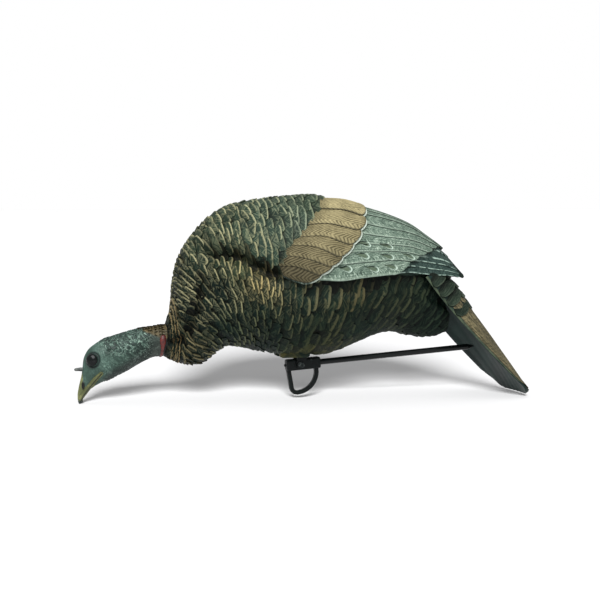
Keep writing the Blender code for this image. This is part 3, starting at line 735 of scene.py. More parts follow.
def lay_body_feathers():
    """Throws feather places over the body until they are spaced like shingles, then returns them."""
    random = np.random.default_rng(SEED)
    u = random.uniform(0.05, len(BODY_ROWS) - 1.15, FEATHER_TRIES)
    angle = random.uniform(-math.pi, math.pi, FEATHER_TRIES)
    du, da = BODY.slopes(u, angle)
    area = np.linalg.norm(np.cross(du, da), axis=-1)
    keep = random.uniform(0, 1, FEATHER_TRIES) < area / np.percentile(area, 97)
    u, angle, du, da = u[keep], angle[keep], du[keep], da[keep]
    points, normals = BODY.point(u, angle), BODY.normal(u, angle)
    taken = np.zeros((FEATHERS_AT_MOST, 3))
    chosen = []
    for k, (point, normal) in enumerate(zip(points, normals)):
        if hidden_by_wing(point[0], angle[k]) or in_zone(point, BARE_ZONE):
            continue
        length, width = feather_size(point[0], point[2])
        way = flow(point)
        way = way - normal * (way @ normal)
        way = way / np.linalg.norm(way)
        across = np.cross(normal, way)
        gap = taken[: len(chosen)] - point
        reach = np.stack([gap @ way / length, gap @ across / (width * 0.8), gap @ normal / 12.0])
        if chosen and np.min((reach**2).sum(0)) < CLOSEST_REACH:
            continue
        taken[len(chosen)] = point
        chosen.append((u[k], angle[k], way, across, du[k], da[k], point, length, width))
    return chosen


def skin_step(du, da, step):
    """A step in millimetres turned into row and angle steps on the skin."""
    jacobian = np.stack([du, da], 1)
    return np.linalg.lstsq(jacobian, step, rcond=None)[0]


def body_blades():
    """The body's own feathers, each turned and sized a little differently."""
    random = np.random.default_rng(SEED + 1)
    blades = []
    for u, angle, way, across, du, da, point, exposed, width in lay_body_feathers():
        turn = random.normal(0.0, 0.10)
        heading = way * math.cos(turn) + across * math.sin(turn)
        sideways = np.cross(np.cross(heading, across), heading)
        sideways = sideways / np.linalg.norm(sideways)
        long = exposed * random.uniform(2.0, 2.35)
        wide = width * random.uniform(1.0, 1.35)
        here = np.array([u, angle])
        back = skin_step(du, da, heading * -0.5 * long)
        front = skin_step(du, da, heading * 0.45 * long)
        half = skin_step(du, da, sideways * 0.5 * wide)
        tip = skin_step(du, da, heading * 0.12 * long)
        base, edge = zone_colours(point[0], point[2])
        smooth_cape = float(smoothstep(-50.0, 0.0, point[0]) * smoothstep(170.0, 200.0, point[2]))
        blades.append(
            blade(
                here + back, here + front, half, tip=tip,
                square=random.uniform(2.6, 4.2), taper=0.15,
                lift=[-1.6, 1.9 - 0.7 * smooth_cape + random.uniform(-0.25, 0.35)],
                tilt=random.normal(0.0, 0.22), crown=0.35, lip=0.6, dip=3.4, length=long, width=wide,
                seed=random.uniform(0, 1), base=base * random.uniform(0.8, 1.2),
                edge=edge * random.uniform(0.85, 1.12), where=point,
            )
        )
    return [made for made in blades if not over_stake_slot(made)]


def over_stake_slot(made):
    """Whether a feather would hang across the slot in which the stake's sleeve swings."""
    return any(in_zone(BODY.point(*corner), SLEEVE_ZONE) for corner in made["root"] + made["end"])


def collar_blades():
    """Short feathers that radiate from the red roll onto the breast."""
    random = np.random.default_rng(SEED + 6)
    blades = []
    for row in range(3):
        count = 30 + 3 * row
        for k in range(count):
            angle = 2 * math.pi * (k + 0.5 * (row % 2)) / count + random.normal(0, 0.02)
            half = np.array([0.0, math.pi / count * 1.15])
            root, end = np.array([0.02 + 0.45 * row, angle]), np.array([0.6 + 0.55 * row, angle])
            point = BODY.point(np.array(end[0]), np.array(angle))
            base, edge = zone_colours(point[0], point[2])
            blades.append(
                blade(
                    root, end, half, tip=[0.3, 0.0], square=2.4, taper=0.1, lift=[-0.8, 2.0 + 0.3 * row],
                    tilt=random.normal(0.0, 0.2), crown=0.5, lip=0.4, dip=3.0, length=9.0, width=5.0,
                    seed=random.uniform(0.5, 1.0), base=base,
                    edge=0.5 * edge + 0.5 * paint(150, 124, 84), where=point,
                )
            )
    return blades


def skin_paint(name):
    n = Nodes(name, roughness=0.75, specular=0.08)
    shade = n.mix(n.span(n.noise(60.0), 0.35, 0.65), paint(14, 24, 22), paint(30, 42, 34))
    return n.finish(shade, n.bump(n.noise(400.0), 0.4, 0.0005))


def build_body_skin():
    """The closed skin under the feathers, open where the belly boss takes its place."""
    rows, columns = 150, 120
    grid_u, grid_a = loft_grid(BODY, rows, columns)
    points = BODY.at(grid_u, grid_a, -1.2).reshape(-1, 3)
    faces = grid_faces(rows, columns, closed=True).tolist()
    for start in (0, (rows - 1) * columns):
        points = cap(points, faces, start, columns, np.linspace(0.96, 0.0, 6)[1:-1])
    faces = [face for face in faces if not in_zone(points[face].mean(0), BOSS_ZONE)]
    skin = add_mesh("body_skin", points, faces, {}, skin_paint("under_skin_paint"))
    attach(skin, "decoy_body")
    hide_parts("body_shell")


PLUMAGE = ("neck", "back", "side_left", "side_right", "flank_left", "flank_right")


def plumage_group(x, y, z):
    """The piece of plumage that a feather at this place belongs to."""
    side = "left" if y < 0 else "right"
    if x > -25 and z < 175:
        return f"flank_{side}"
    if x < -125 or (x < -100 and z < 110):
        return "neck"
    if z > 185:
        return "back"
    return f"side_{side}"


def build_body():
    build_body_skin()
    build_belly_boss()
    brushed = feather_paint("body_feather_paint")
    banded = feather_paint("flank_feather_paint", stroke=0.85, thin=0.9, barb=0.8, slant=0.5)
    groups = {name: [] for name in PLUMAGE}
    for made in body_blades() + collar_blades():
        groups[plumage_group(*made.pop("where"))].append(made)
    for name, group in groups.items():
        plumage = feathers(f"plumage_{name}", BODY, group, banded if "flank" in name else brushed)
        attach(plumage, "decoy_body")


# The block under the belly that the stake's bracket sits in, and the slots cut in it and in the shell:
# x from, x to, half width and the height of the roof. It lies under the body's rows from BOSS_ROW on.
BOSS_ROW = 8
BOSS_X = (-32.0, 9.0)
BOSS_HALF_WIDTH = 23.0
BOSS_BOTTOM = 57.0
BOSS_ROUNDING = 5.0
BELLY_SLOTS = [(-50.0, 0.0, 9.6, 66.5), (-10.0, 11.0, 13.2, 72.2)]


def build_belly_boss():
    """The block, blended into the belly's skin, with the stake's slots let into it."""
    x, y = np.meshgrid(np.arange(-57.0, 17.1, 0.5), np.arange(-27.0, 27.1, 0.5), indexing="ij")
    bottom, top, half_width = (
        np.interp(x, BODY_ROWS[BOSS_ROW:, 0], BODY_ROWS[BOSS_ROW:, k]) for k in (1, 3, 4)
    )
    skin = bottom + (top - bottom) / 2 * (1.0 - np.sqrt(1.0 - (y / half_width) ** 2)) + 1.4
    inset = np.minimum(np.minimum(x - BOSS_X[0], BOSS_X[1] - x), BOSS_HALF_WIDTH - np.abs(y))
    short = 1.0 - np.clip(inset / BOSS_ROUNDING, 0.0, 1.0)
    block = BOSS_BOTTOM + BOSS_ROUNDING * (1.0 - np.sqrt(1.0 - short**2))
    z = np.where(inset > 0, np.minimum(block, skin), skin)
    for low, high, half, roof in BELLY_SLOTS:
        z = np.where((x > low) & (x < high) & (np.abs(y) < half), roof, z)
    n = Nodes("belly_boss_paint", roughness=0.65, specular=0.1)
    smear = n.span(n.noise(42.0, 4.0, 0.6), 0.42, 0.62)
    colour = n.mix(smear, paint(20, 34, 28), paint(76, 74, 44))
    material = n.finish(colour, n.bump(n.noise(300.0, 4.0), 0.4, 0.0006))
    faces = grid_faces(*x.shape, flip=True).tolist()
    boss = add_mesh("belly_boss", np.stack([x, y, z], -1).reshape(-1, 3), faces, {}, material, smooth=False)
    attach(boss, "decoy_body")


# ---------------------------------------------------------------- wings

# The front edge of the wing's shell: x and degrees from the top.
WING_FRONT = [(-41, 81), (-38, 72), (-28, 65), (-16, 59), (-2, 49), (9, 40), (20, 30), (26, 10), (30, 0)]

# The lower edge of the wing's shell: x, and radians from the top.
WING_LOW_X = (-40, 24, 81, 135, 176, 229)
WING_LOW_ANGLE = (1.56, 1.61, 1.60, 1.57, 1.36, 1.34)

# Edges of the seven brown covert lobes on the wing, front to rear, in x and degrees from the top.
LOBE_EDGES = [
    [(25, 2), (48, 3), (69, 12)],
    [(14, 32), (42, 31), (66, 37)],
    [(-8, 49), (26, 48), (56, 53)],
    [(-22, 59), (14, 59), (44, 65)],
    [(-35, 65), (-2, 67), (27, 74)],
    [(-46, 72), (-16, 75), (13, 81)],
    [(-49, 80), (-26, 81), (-2, 87)],
    [(-44, 87), (-31, 90), (-17, 92)],
]
LOBE_TIP = 12.0
LOBE_OVERLAP = 1.6
LIP_REACH = 2.3

# The grey-green flight feathers: the angles of their edges at front, middle and rear, and where they end.
FLIGHT_EDGES = [
    (0, 0, 0, 193),
    (12, 9, 7, 192),
    (21, 18, 14, 190),
    (31, 27, 22, 185),
    (41, 43, 31, 180),
    (54, 54, 44, 171),
    (63, 63, 56, 160),
    (71, 70, 65, 146),
    (80, 79, 75, 132),
    (91, 91.5, 90, 109),
]
TEARDROPS = [(67, 64), (99, 64), (63, 74), (99, 74), (130, 70), (38, 83), (76, 84.5), (103, 83)]
TEARDROP_LENGTH, TEARDROP_WIDTH, TEARDROP_DEPTH = 8.4, 4.2, 1.3
TEARDROP_RIM = 0.9
MM_PER_DEGREE = 1.55

# The dark primaries behind and below them: x, lower and upper edge angle at the root, then at the tip.
PRIMARIES = [
    (104, 91, 83, 212, 75, 65),
    (116, 83, 75, 212, 67, 57),
    (128, 76, 66, 210, 57, 46),
    (147, 67, 47, 205, 49, 27),
    (162, 49, 19, 201, 33, 6),
]


def teardrop_relief(place):
    """Almond hollows beside the shafts, each with a raised rim at its lower rear end and a groove above."""
    hollow = np.zeros(place.shape[:-1])
    rim = np.zeros(place.shape[:-1])
    for x, degrees in TEARDROPS:
        ahead = place[..., 0] - x
        below = (place[..., 1] - degrees) * MM_PER_DEGREE - 0.22 * ahead
        width = TEARDROP_WIDTH * np.clip(0.55 + 0.5 * ahead / TEARDROP_LENGTH, 0.12, 1.0)
        reach = np.sqrt((ahead / TEARDROP_LENGTH) ** 2 + (below / width) ** 2)
        hollow = np.maximum(hollow, 1.0 - smoothstep(0.78, 1.0, reach))
        leaning = ahead + 1.5 * below
        around = np.exp(-(((reach - 1.16) / 0.09) ** 2)) * smoothstep(-1.0, 3.0, leaning)
        furrow = np.exp(-(((reach - 1.0) / 0.16) ** 2)) * smoothstep(2.0, -2.0, leaning)
        rim = np.where(np.abs(around) > np.abs(rim), around, rim)
        rim = np.where(furrow > np.abs(rim), -furrow, rim)
    return hollow, rim


def path_at(path, share):
    """A point a share of the way along a short edge."""
    return spline(np.array(path, float), share * (len(path) - 1))


class Panels:
    """Big feathers between two drawn edges, dense enough to carry relief, gathered into one piece."""

    def __init__(self, skin, rows, columns):
        self.skin, self.rows, self.columns = skin, rows, columns
        self.points, self.faces, self.facts = [], [], {}
        self.count = 0

    def add(
        self, low, high, tip, square, lift, base, edge, seed,
        relief=None, tilt=0.0, crown=0.0, lip=0.5, dip=3.0, barb_every=4.2, barb_depth=0.0,
    ):
        """low and high are functions from a share of the length, 0 to 1, to a place on the skin."""
        along, across, quads, rim = blade_template(self.rows, self.columns)
        side = ((across + 1) / 2)[:, None]
        place = low(along) * (1 - side) + high(along) * side
        bulge = (1 - np.abs(across) ** square) ** (1 / square)
        place = place + np.array(tip) * (bulge * along**3)[:, None]
        height = lift[0] + (lift[1] - lift[0]) * along + crown * (1 - across**2) + tilt * across
        height = height + lip * np.exp(-(((1 - along) / 0.05) ** 2))
        hollow, raised = relief(place) if relief else (np.zeros(len(along)), np.zeros(len(along)))
        height = height - TEARDROP_DEPTH * hollow + TEARDROP_RIM * raised
        barb_a, barb_b, width = self.measure(place, height, across)
        wander = 0.9 * np.sin(barb_a * 0.21 + 9.0 * seed) + 0.6 * np.sin(barb_b * 0.5 + 5.0 * seed)
        barb_place = barb_a - 1.25 * np.abs(barb_b + 0.3 * width) + wander
        ridge = np.sin(barb_place * 2 * math.pi / barb_every)
        height = height - barb_depth * ridge * smoothstep(0.0, 0.2, 1 - np.abs(across))
        top = self.skin.at(place[:, 0], place[:, 1], height)
        low_rim = self.skin.at(place[rim, 0], place[rim, 1], height[rim] - dip)
        points = np.concatenate([top, top[rim], low_rim])
        facts = {
            "top": skirt_mask(len(along), rim),
            "seed": np.full(len(points), seed),
            "base": np.tile(base, (len(points), 1)),
            "edge": np.tile(edge, (len(points), 1)),
        }
        upper = {"along": along, "across": across, "barb_a": barb_a, "barb_b": barb_b}
        upper.update({"ridge": ridge, "hollow": hollow, "raised": raised})
        facts.update({key: with_skirt(values, rim) for key, values in upper.items()})
        self.points.append(points)
        self.faces.append(quads + self.count)
        self.count += len(points)
        for key, values in facts.items():
            self.facts.setdefault(key, []).append(values)

    def measure(self, place, height, across):
        """Millimetres along and across each point of a feather, and how wide the feather is there."""
        flat = self.skin.at(place[:, 0], place[:, 1], height).reshape(self.rows, self.columns, 3)
        steps = np.linalg.norm(np.diff(flat, axis=0), axis=-1)
        gone = np.vstack([np.zeros(self.columns), np.cumsum(steps, 0)])
        width = np.repeat(np.linalg.norm(flat[:, -1] - flat[:, 0], axis=-1), self.columns)
        return gone.ravel(), across * width / 2, width

    def make(self, name, material, mirror=False):
        points = np.concatenate(self.points)
        faces = np.concatenate(self.faces)
        if mirror:
            points, faces = reflected(points, faces)
        facts = {key: np.concatenate(values) for key, values in self.facts.items()}
        return add_mesh(name, points, faces.tolist(), facts, material)


def edge_line(path, nudge=(0.0, 0.0)):
    """A function from a share of the length to a place on this edge, moved by the nudge."""
    return lambda share: path_at(path, share) + np.array(nudge)


def covert_panels(skin, random):
    """The brown lobes, each over a pale lip that shows beyond its tip, darker from the back to the belly."""
    brown, brown_edge = paint(116, 108, 78), paint(182, 170, 128)
    coverts = Panels(skin, 130, 44)
    lips = Panels(skin, 60, 30)
    for k, (upper, lower) in enumerate(zip(LOBE_EDGES[:-1], LOBE_EDGES[1:])):
        coverts.add(
            edge_line(lower, (0.0, LOBE_OVERLAP)), edge_line(upper),
            tip=(LOBE_TIP, -1.0), square=2.2, lift=(1.2, 4.6),
            base=brown * (0.98 - 0.128 * k), edge=brown_edge * (0.91 - 0.116 * k),
            seed=random.uniform(0.3, 0.7), tilt=-0.9, crown=1.3, lip=0.3, dip=2.2,
            barb_every=5.6, barb_depth=0.26,
        )
        lips.add(
            edge_line(lower, (0.0, 1.6 * LOBE_OVERLAP)), edge_line(upper, (0.0, -0.8)),
            tip=(LOBE_TIP + LIP_REACH, -0.6), square=2.2, lift=(-0.5, 2.4),
            base=paint(96, 116, 104), edge=paint(206, 218, 204), seed=0.9,
            tilt=-0.6, crown=0.9, lip=0.5, dip=4.0,
        )
    return coverts, lips


def flight_edge(front, middle, rear, end):
    """One edge between flight feathers; it starts under the lobes, further forward the lower it lies."""
    start = np.interp(front, (0, 54, 72, 82, 93), (46, 40, 16, -2, -24))
    return [(start, front), ((start + end) / 2, middle), (end, rear)]


def flight_panels(skin, random):
    flight = Panels(skin, 170, 30)
    for upper, lower in zip(FLIGHT_EDGES[:-1], FLIGHT_EDGES[1:]):
        flight.add(
            edge_line(flight_edge(*lower), (0.0, 0.6)), edge_line(flight_edge(*upper)),
            tip=(6.0, 0.0), square=2.0, lift=(-0.6, 2.3),
            base=paint(98, 116, 102), edge=paint(164, 180, 164),
            seed=random.uniform(0.25, 0.75), relief=teardrop_relief, tilt=-0.55, crown=0.7, lip=0.4, dip=3.2,
        )
    return flight


def primary_panels(skin, random):
    primaries = Panels(skin, 60, 14)
    for k, (start, low_root, high_root, end, low_tip, high_tip) in enumerate(PRIMARIES):
        primaries.add(
            edge_line([(start, low_root), (end, low_tip)]),
            edge_line([(start, high_root), (end - 3, high_tip)]),
            tip=(4.0, 0.0), square=1.7, lift=(-1.6, 0.8 - 0.25 * k),
            base=paint(58, 76, 70), edge=paint(150, 172, 160), seed=random.uniform(0.3, 0.7),
            tilt=-0.8, crown=0.2, lip=0.2, dip=2.8,
        )
    return primaries


def wing_shell(skin, mirror):
    """The moulded shell under the wing's feathers, closed, with the undercut lower edge."""
    x = np.concatenate([np.linspace(-38, 60, 40), np.linspace(62, 226, 50)])
    rows, columns = len(x), 50
    rear = smoothstep(200.0, 229.0, x)
    low = np.interp(x, WING_LOW_X, np.degrees(WING_LOW_ANGLE)) - rear * 16.0
    high = np.where(x < 30, np.interp(x, *zip(*WING_FRONT)), 1.0) + rear * 45.0
    degrees = high[:, None] + (low - high)[:, None] * np.linspace(0, 1, columns)
    grid_x = np.broadcast_to(x[:, None], degrees.shape)
    outer = skin.at(grid_x, degrees, -0.8).reshape(-1, 3)
    inner = skin.at(grid_x, degrees, -3.9).reshape(-1, 3)
    points, faces = closed_sheet(outer, inner, rows, columns, flip=True)
    if mirror:
        points, faces = reflected(points, faces)
    return points, faces.tolist()


def build_wings():
    random = np.random.default_rng(SEED + 2)
    skin = WingSkin()
    coverts, lips = covert_panels(skin, random)
    flight, primaries = flight_panels(skin, random), primary_panels(skin, random)
    lip_paint = feather_paint("covert_lip_paint", thin=0.975, stroke=1.2, wear=0.3)
    brown_paint = covert_paint("covert_paint")
    teal_paint = flight_paint("flight_paint")
    dark_paint = primary_paint("primary_paint")
    base_paint = skin_paint("wing_shell_paint")
    for side, mirror in (("left", False), ("right", True)):
        made = [
            coverts.make(f"wing_coverts_{side}", brown_paint, mirror),
            lips.make(f"wing_covert_lips_{side}", lip_paint, mirror),
            flight.make(f"wing_flight_{side}", teal_paint, mirror),
            primaries.make(f"wing_primaries_{side}", dark_paint, mirror),
            add_mesh(f"wing_shell_{side}", *wing_shell(skin, mirror), {}, base_paint),
        ]
        for piece in made:
            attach(piece, "decoy_body")
        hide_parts(f"wing_{side}")


# ---------------------------------------------------------------- tail

TAIL_FEATHERS = 9
TAIL_FEATHER_SPREAD = 0.955
TAIL_QUILL_START = 34.0

# Rows of coverts over the tail's root, lowest first: how far down they reach, how many, and their colour.
TAIL_COVERT_ROWS = [
    (64.0, 6, paint(38, 50, 40)),
    (47.0, 6, paint(42, 54, 43)),
    (31.0, 5, paint(44, 56, 45)),
    (14.0, 5, paint(42, 54, 44)),
]
TAIL_COVERT_SPREAD = 0.96


def build_tail_web(skin):
    """The fan's thin web, with the feathers' ridges moulded on its underside."""
    rows, columns = 110, 61
    v_row = np.sin(np.linspace(-1, 1, columns) * math.pi / 2)
    s_share, v = np.meshgrid(np.linspace(0, 1, rows), v_row, indexing="ij")
    s = fan_start(v) + (fan_end(v) - 1.5 - fan_start(v)) * s_share
    ridges = 0.5 * np.abs(np.sin(v * TAIL_FEATHERS * math.pi / 2)) ** 0.7 * (np.abs(v) < 0.97)
    thinning = 2.4 * smoothstep(0.7, 1.0, np.abs(v))
    outer = skin.at(s, v * 0.985, -0.6).reshape(-1, 3)
    inner = skin.at(s, v * 0.985, -4.6 + thinning - ridges).reshape(-1, 3)
    points, faces = closed_sheet(outer, inner, rows, columns)
    rim = smoothstep(0.955, 0.985, np.abs(v)).ravel()
    facts = {"rim": np.concatenate([rim, 0 * rim])}
    return add_mesh("tail_web", points, faces.tolist(), facts, tail_web_paint())


def quill_edge(v):
    """A function from a share of the length to a place on the line between two tail feathers."""
    reach = fan_end(v) - 7 - TAIL_QUILL_START
    return lambda share: np.stack([TAIL_QUILL_START + reach * share, np.full_like(share, v)], -1)


def build_tail_quills(skin, random):
    """The long tail feathers, laid from the edges to the middle one, which overlaps its neighbours."""
    quills = Panels(skin, 90, 12)
    for k in np.argsort(-np.abs(np.arange(TAIL_FEATHERS) - (TAIL_FEATHERS - 1) / 2)):
        near, far = ((2.0 * edge / TAIL_FEATHERS - 1.0) * TAIL_FEATHER_SPREAD for edge in (k, k + 1))
        middle = (near + far) / 2
        quills.add(
            quill_edge(near), quill_edge(far),
            tip=(5.0 + 1.2 * (1 - abs(middle)), 0.0), square=2.6, lift=(-0.4, 0.4),
            base=paint(76, 71, 52), edge=paint(138, 128, 96), seed=random.uniform(0.2, 0.8),
            crown=0.8, tilt=0.5 if middle < 0 else -0.5, lip=0.2, dip=1.4,
        )
    return quills.make("tail_quills", barred_paint("tail_quill_paint"))


def build_tail_coverts(skin, random):
    blades = []
    for row, (s_end, across_count, colour) in enumerate(TAIL_COVERT_ROWS):
        for k in range(across_count):
            middle = (2.0 * (k + 0.5) / across_count - 1.0) * TAIL_COVERT_SPREAD
            root = np.array([s_end - 44.0 + 12.0 * abs(middle), middle])
            end = np.array([s_end - 12.0 - 12.0 * middle**2, middle])
            half = np.array([0.0, 1.14 * TAIL_COVERT_SPREAD / across_count])
            blades.append(
                blade(
                    root, end, half,
                    tip=[9.0 + random.uniform(-2, 2) - 3.0 * middle**2, 0.0], square=2.1, taper=0.1,
                    lift=[-2.0, (1.3 + 0.3 * row) * (1.0 - 0.6 * abs(middle) ** 3)],
                    tilt=random.normal(0, 0.15), crown=0.6, lip=0.3, dip=3.0, length=44.0, width=18.0,
                    seed=random.uniform(0, 1), base=colour, edge=paint(82, 92, 76),
                )
            )
    covert_look = feather_paint("tail_covert_paint", stroke=0.45, thin=0.95)
    return feathers("tail_coverts", skin, blades, covert_look, rows=16, columns=13)


def build_tail():
    random = np.random.default_rng(SEED + 3)
    skin = FanSkin()
    web = build_tail_web(skin)
    quills = build_tail_quills(skin, random)
    coverts = build_tail_coverts(skin, random)
    for piece in (web, quills, coverts):
        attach(piece, "decoy_body")
    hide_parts("tail_fan")


# ---------------------------------------------------------------- more paints


def covert_paint(name):
    """Brown wing coverts: strong oblique barbs either side of the shaft, painted shade along both edges, at
    the root under the cape and along the tip's edge.
    """
    n = Nodes(name, roughness=0.65, specular=0.12)
    along, across = n.attribute("along"), n.attribute("across")
    base, edge = n.attribute("base", True), n.attribute("edge", True)
    barbs = n.span(n.attribute("ridge"), -0.2, 0.9)
    barbs = n.times(barbs, n.span(n.hatch(2.2, 1.3), 0.36, 0.52, 0.6, 1.0))
    cloud = n.noise(60.0, 4.0, 0.6)
    crackle = n.noise(420.0, 3.0, 0.7)
    dark = n.tint(base, (0.30, 0.31, 0.30))
    colour = n.mix(n.span(cloud, 0.3, 0.7, 0.0, 0.5), edge, base)
    colour = n.mix(n.span(crackle, 0.35, 0.65, 0.45, 0.0), colour, base)
    colour = n.mix(n.times(barbs, n.span(cloud, 0.35, 0.6, 0.35, 0.75)), colour, dark)
    # Painted shade along the lower edge, which overhangs the next lobe, and along the upper edge, which lies
    # under the lobe above.
    colour = n.mix(n.span(across, -0.88, -1.0, 0.0, 0.85), colour, paint(30, 32, 24))
    colour = n.mix(n.span(across, 0.93, 1.0, 0.0, 0.6), colour, paint(40, 42, 30))
    # Painted shade at the root, under the cape's edge, and along the tip's edge, over the pale lip.
    colour = n.mix(n.span(along, 0.0, 0.25, 0.45, 0.0), colour, dark)
    colour = n.mix(n.span(along, 0.97, 1.0, 0.0, 0.7), colour, dark)
    colour = n.paint_skirt_shade(colour, 0.15)
    height = n.minus(n.times(crackle, 0.6), barbs)
    return n.finish(colour, n.bump(height, 0.7, 0.0008))


# How far apart, in millimetres, the furrows along flight feathers and the bars across tail feathers lie.
FURROW_EVERY = 4.6
BAR_EVERY = 5.5


def flight_paint(name):
    """Grey-green flight feathers: fine slanted barbs, darker hollows, painted shade in the gaps and grooves,
    and painted highlights on the raised rims and lower edges.
    """
    n = Nodes(name, roughness=0.6, specular=0.15)
    across = n.attribute("across")
    base, edge = n.attribute("base", True), n.attribute("edge", True)
    barbs = n.hatch(1.5, 1.0)
    streak = n.lengthways(0.10, 1.1, 40.0, 0.65)
    crackle = n.noise(520.0, 3.0, 0.75)
    shade = n.plus(n.times(n.minus(barbs, 0.5), 1.5), n.times(n.minus(streak, 0.5), 0.6))
    shade = n.plus(shade, n.times(n.minus(crackle, 0.5), 1.0))
    dark = n.tint(base, (0.22, 0.27, 0.27))
    colour = n.mix(n.span(shade, -0.36, 0.02), dark, base)
    colour = n.mix(n.span(shade, 0.05, 0.34, 0.0, 0.9), colour, edge)
    # Painted highlight along the raised lower edge of each feather.
    painted_edge_highlight = n.span(across, -0.62, -0.84)
    colour = n.mix(n.times(painted_edge_highlight, 0.4), colour, edge)
    # Painted shade in the gaps: along the upper edge, under the feather above, and at the very lower edge.
    colour = n.mix(n.span(across, 0.72, 0.95, 0.0, 0.85), colour, dark)
    colour = n.mix(n.span(across, -0.9, -1.0, 0.0, 0.8), colour, dark)
    furrow_turn = n.times(n.attribute("barb_b"), 2 * math.pi / FURROW_EVERY)
    furrow = n.math("SINE", n.plus(furrow_turn, n.times(streak, 3.0)))
    broken = n.span(n.noise(85.0, 3.0), 0.42, 0.58)
    colour = n.mix(n.times(n.span(furrow, 0.55, 0.95), n.times(broken, 0.75)), colour, dark)
    colour = n.mix(n.times(n.attribute("hollow"), 0.9), colour, paint(78, 92, 74))
    # Painted highlight on the teardrops' raised rims, then painted shade in the grooves above them.
    colour = n.mix(n.span(n.attribute("raised"), 0.1, 0.7, 0.0, 0.9), colour, paint(178, 196, 182))
    colour = n.mix(n.span(n.attribute("raised"), -0.1, -0.6), colour, paint(22, 32, 28))
    colour = n.paint_skirt_shade(colour, 0.22)
    height = n.plus(n.times(barbs, 0.4), n.times(streak, 1.2))
    normal = n.bump(height, 0.6, 0.0006)
    return n.finish(colour, n.bump(crackle, 0.35, 0.0005, normal))


def primary_paint(name):
    """Dark flight feathers with pale edges along one side and barring across, and painted shade over the
    side under the next feather.
    """
    n = Nodes(name, roughness=0.55, specular=0.15)
    across = n.attribute("across")
    base, edge = n.attribute("base", True), n.attribute("edge", True)
    wave = n.noise(140.0, 3.0)
    broken = n.noise(420.0, 3.0, 0.7)
    dark = n.tint(base, (0.3, 0.36, 0.36))
    colour = n.mix(n.span(broken, 0.4, 0.65), dark, base)
    pale = n.times(n.span(across, -0.68, -0.84), n.span(wave, 0.38, 0.58))
    colour = n.mix(n.times(pale, 0.85), colour, edge)
    # Painted shade over the upper side of each primary, which lies below the raised edge of the one above.
    gap = n.span(across, 0.35, 0.85, 0.0, 0.85)
    colour = n.mix(gap, colour, paint(20, 34, 32))
    colour = n.paint_skirt_shade(colour, 0.3)
    return n.finish(colour, n.bump(broken, 0.4, 0.0006))


def barred_paint(name):
    """Brown tail feathers with fine dark bars, pale streaks and painted shade along both edges."""
    n = Nodes(name, roughness=0.6, specular=0.12)
    base, edge = n.attribute("base", True), n.attribute("edge", True)
    side = n.size(n.attribute("barb_b"))
    wobble = n.times(n.noise(160.0, 3.0), 5.0)
    position = n.plus(n.attribute("barb_a"), n.times(side, 0.5))
    bars = n.math("SINE", n.plus(n.times(position, 2 * math.pi / BAR_EVERY), wobble))
    streak = n.lengthways(0.06, 1.0, 50.0, 0.6)
    dark = n.tint(base, (0.22, 0.27, 0.27))
    colour = n.mix(n.span(bars, -0.1, 0.7, 0.0, 0.55), base, dark)
    colour = n.mix(n.span(streak, 0.5, 0.66, 0.0, 0.85), colour, edge)
    colour = n.mix(n.span(streak, 0.44, 0.32, 0.0, 0.8), colour, dark)
    # Painted shade along both edges of each tail feather, where its neighbours meet it.
    colour = n.mix(n.span(n.size(n.attribute("across")), 0.85, 1.0, 0.0, 0.7), colour, dark)
    colour = n.paint_skirt_shade(colour, 0.3)
    return n.finish(colour, n.bump(n.plus(streak, n.times(bars, 0.2)), 0.5, 0.0008))


def tail_web_paint():
    n = Nodes("tail_web_paint", roughness=0.5, specular=0.16)
    cloud = n.noise(28.0, 4.0)
    colour = n.mix(n.span(cloud, 0.35, 0.7), paint(7, 25, 23), paint(18, 40, 36))
    brushed = n.times(n.attribute("rim"), n.span(n.noise(90.0), 0.35, 0.6, 0.3, 0.8))
    colour = n.mix(brushed, colour, paint(78, 88, 68))
    return n.finish(colour, n.bump(n.noise(260.0, 4.0), 0.3, 0.0006))


# ---------------------------------------------------------------- head

# The mouth's line, x and z, and where the beak's raised strip along it ends.
MOUTH = [(-272.6, 40.6), (-277, 35), (-282, 28.5), (-290, 18.5), (-296.5, 8.5), (-299.5, 0)]
BEAK_STRIP_END = -268.5

# The eye's row and angle on the head's loft, and its size.
EYE_PLACE = (np.array(11.2), np.array(math.radians(62.0)))
EYE_RADIUS = 8.2
EYE_DOME = 4.6
EYE_SINK = 1.2

# Centres of the ear and the nostril, x and z.
EAR = (-263.0, 73.0)
NOSTRIL = (-295.2, 24.5)


def ridged(points, scale, seed):
    """Branching wrinkles: 1 on a crest and 0 in a valley."""
    values = np.empty(len(points))
    for k, (x, y, z) in enumerate(points):
        warp = noise.noise(Vector((x * 0.09 + seed, y * 0.09, z * 0.09)))
        lengthways = 0.86 * x + 0.5 * z
        crossways = 0.5 * x - 0.86 * z
        warped_x = 1.25 * lengthways * scale + 1.4 * warp
        warped_z = 0.7 * crossways * scale + 1.4 * warp
        place = Vector((warped_x, 0.8 * y * scale + seed, warped_z))
        values[k] = 1.0 - min(1.0, abs(noise.noise(place)) * 3.4)
    return values


def eye_seat(side):
    """Where the eye sits in the head's skin, and which way it looks."""
    loft = Loft(HEAD_ROWS)
    place, look = loft.at(*EYE_PLACE), loft.normal(*EYE_PLACE)
    flip = np.array([1.0, -side, 1.0])
    return place * flip, look * flip


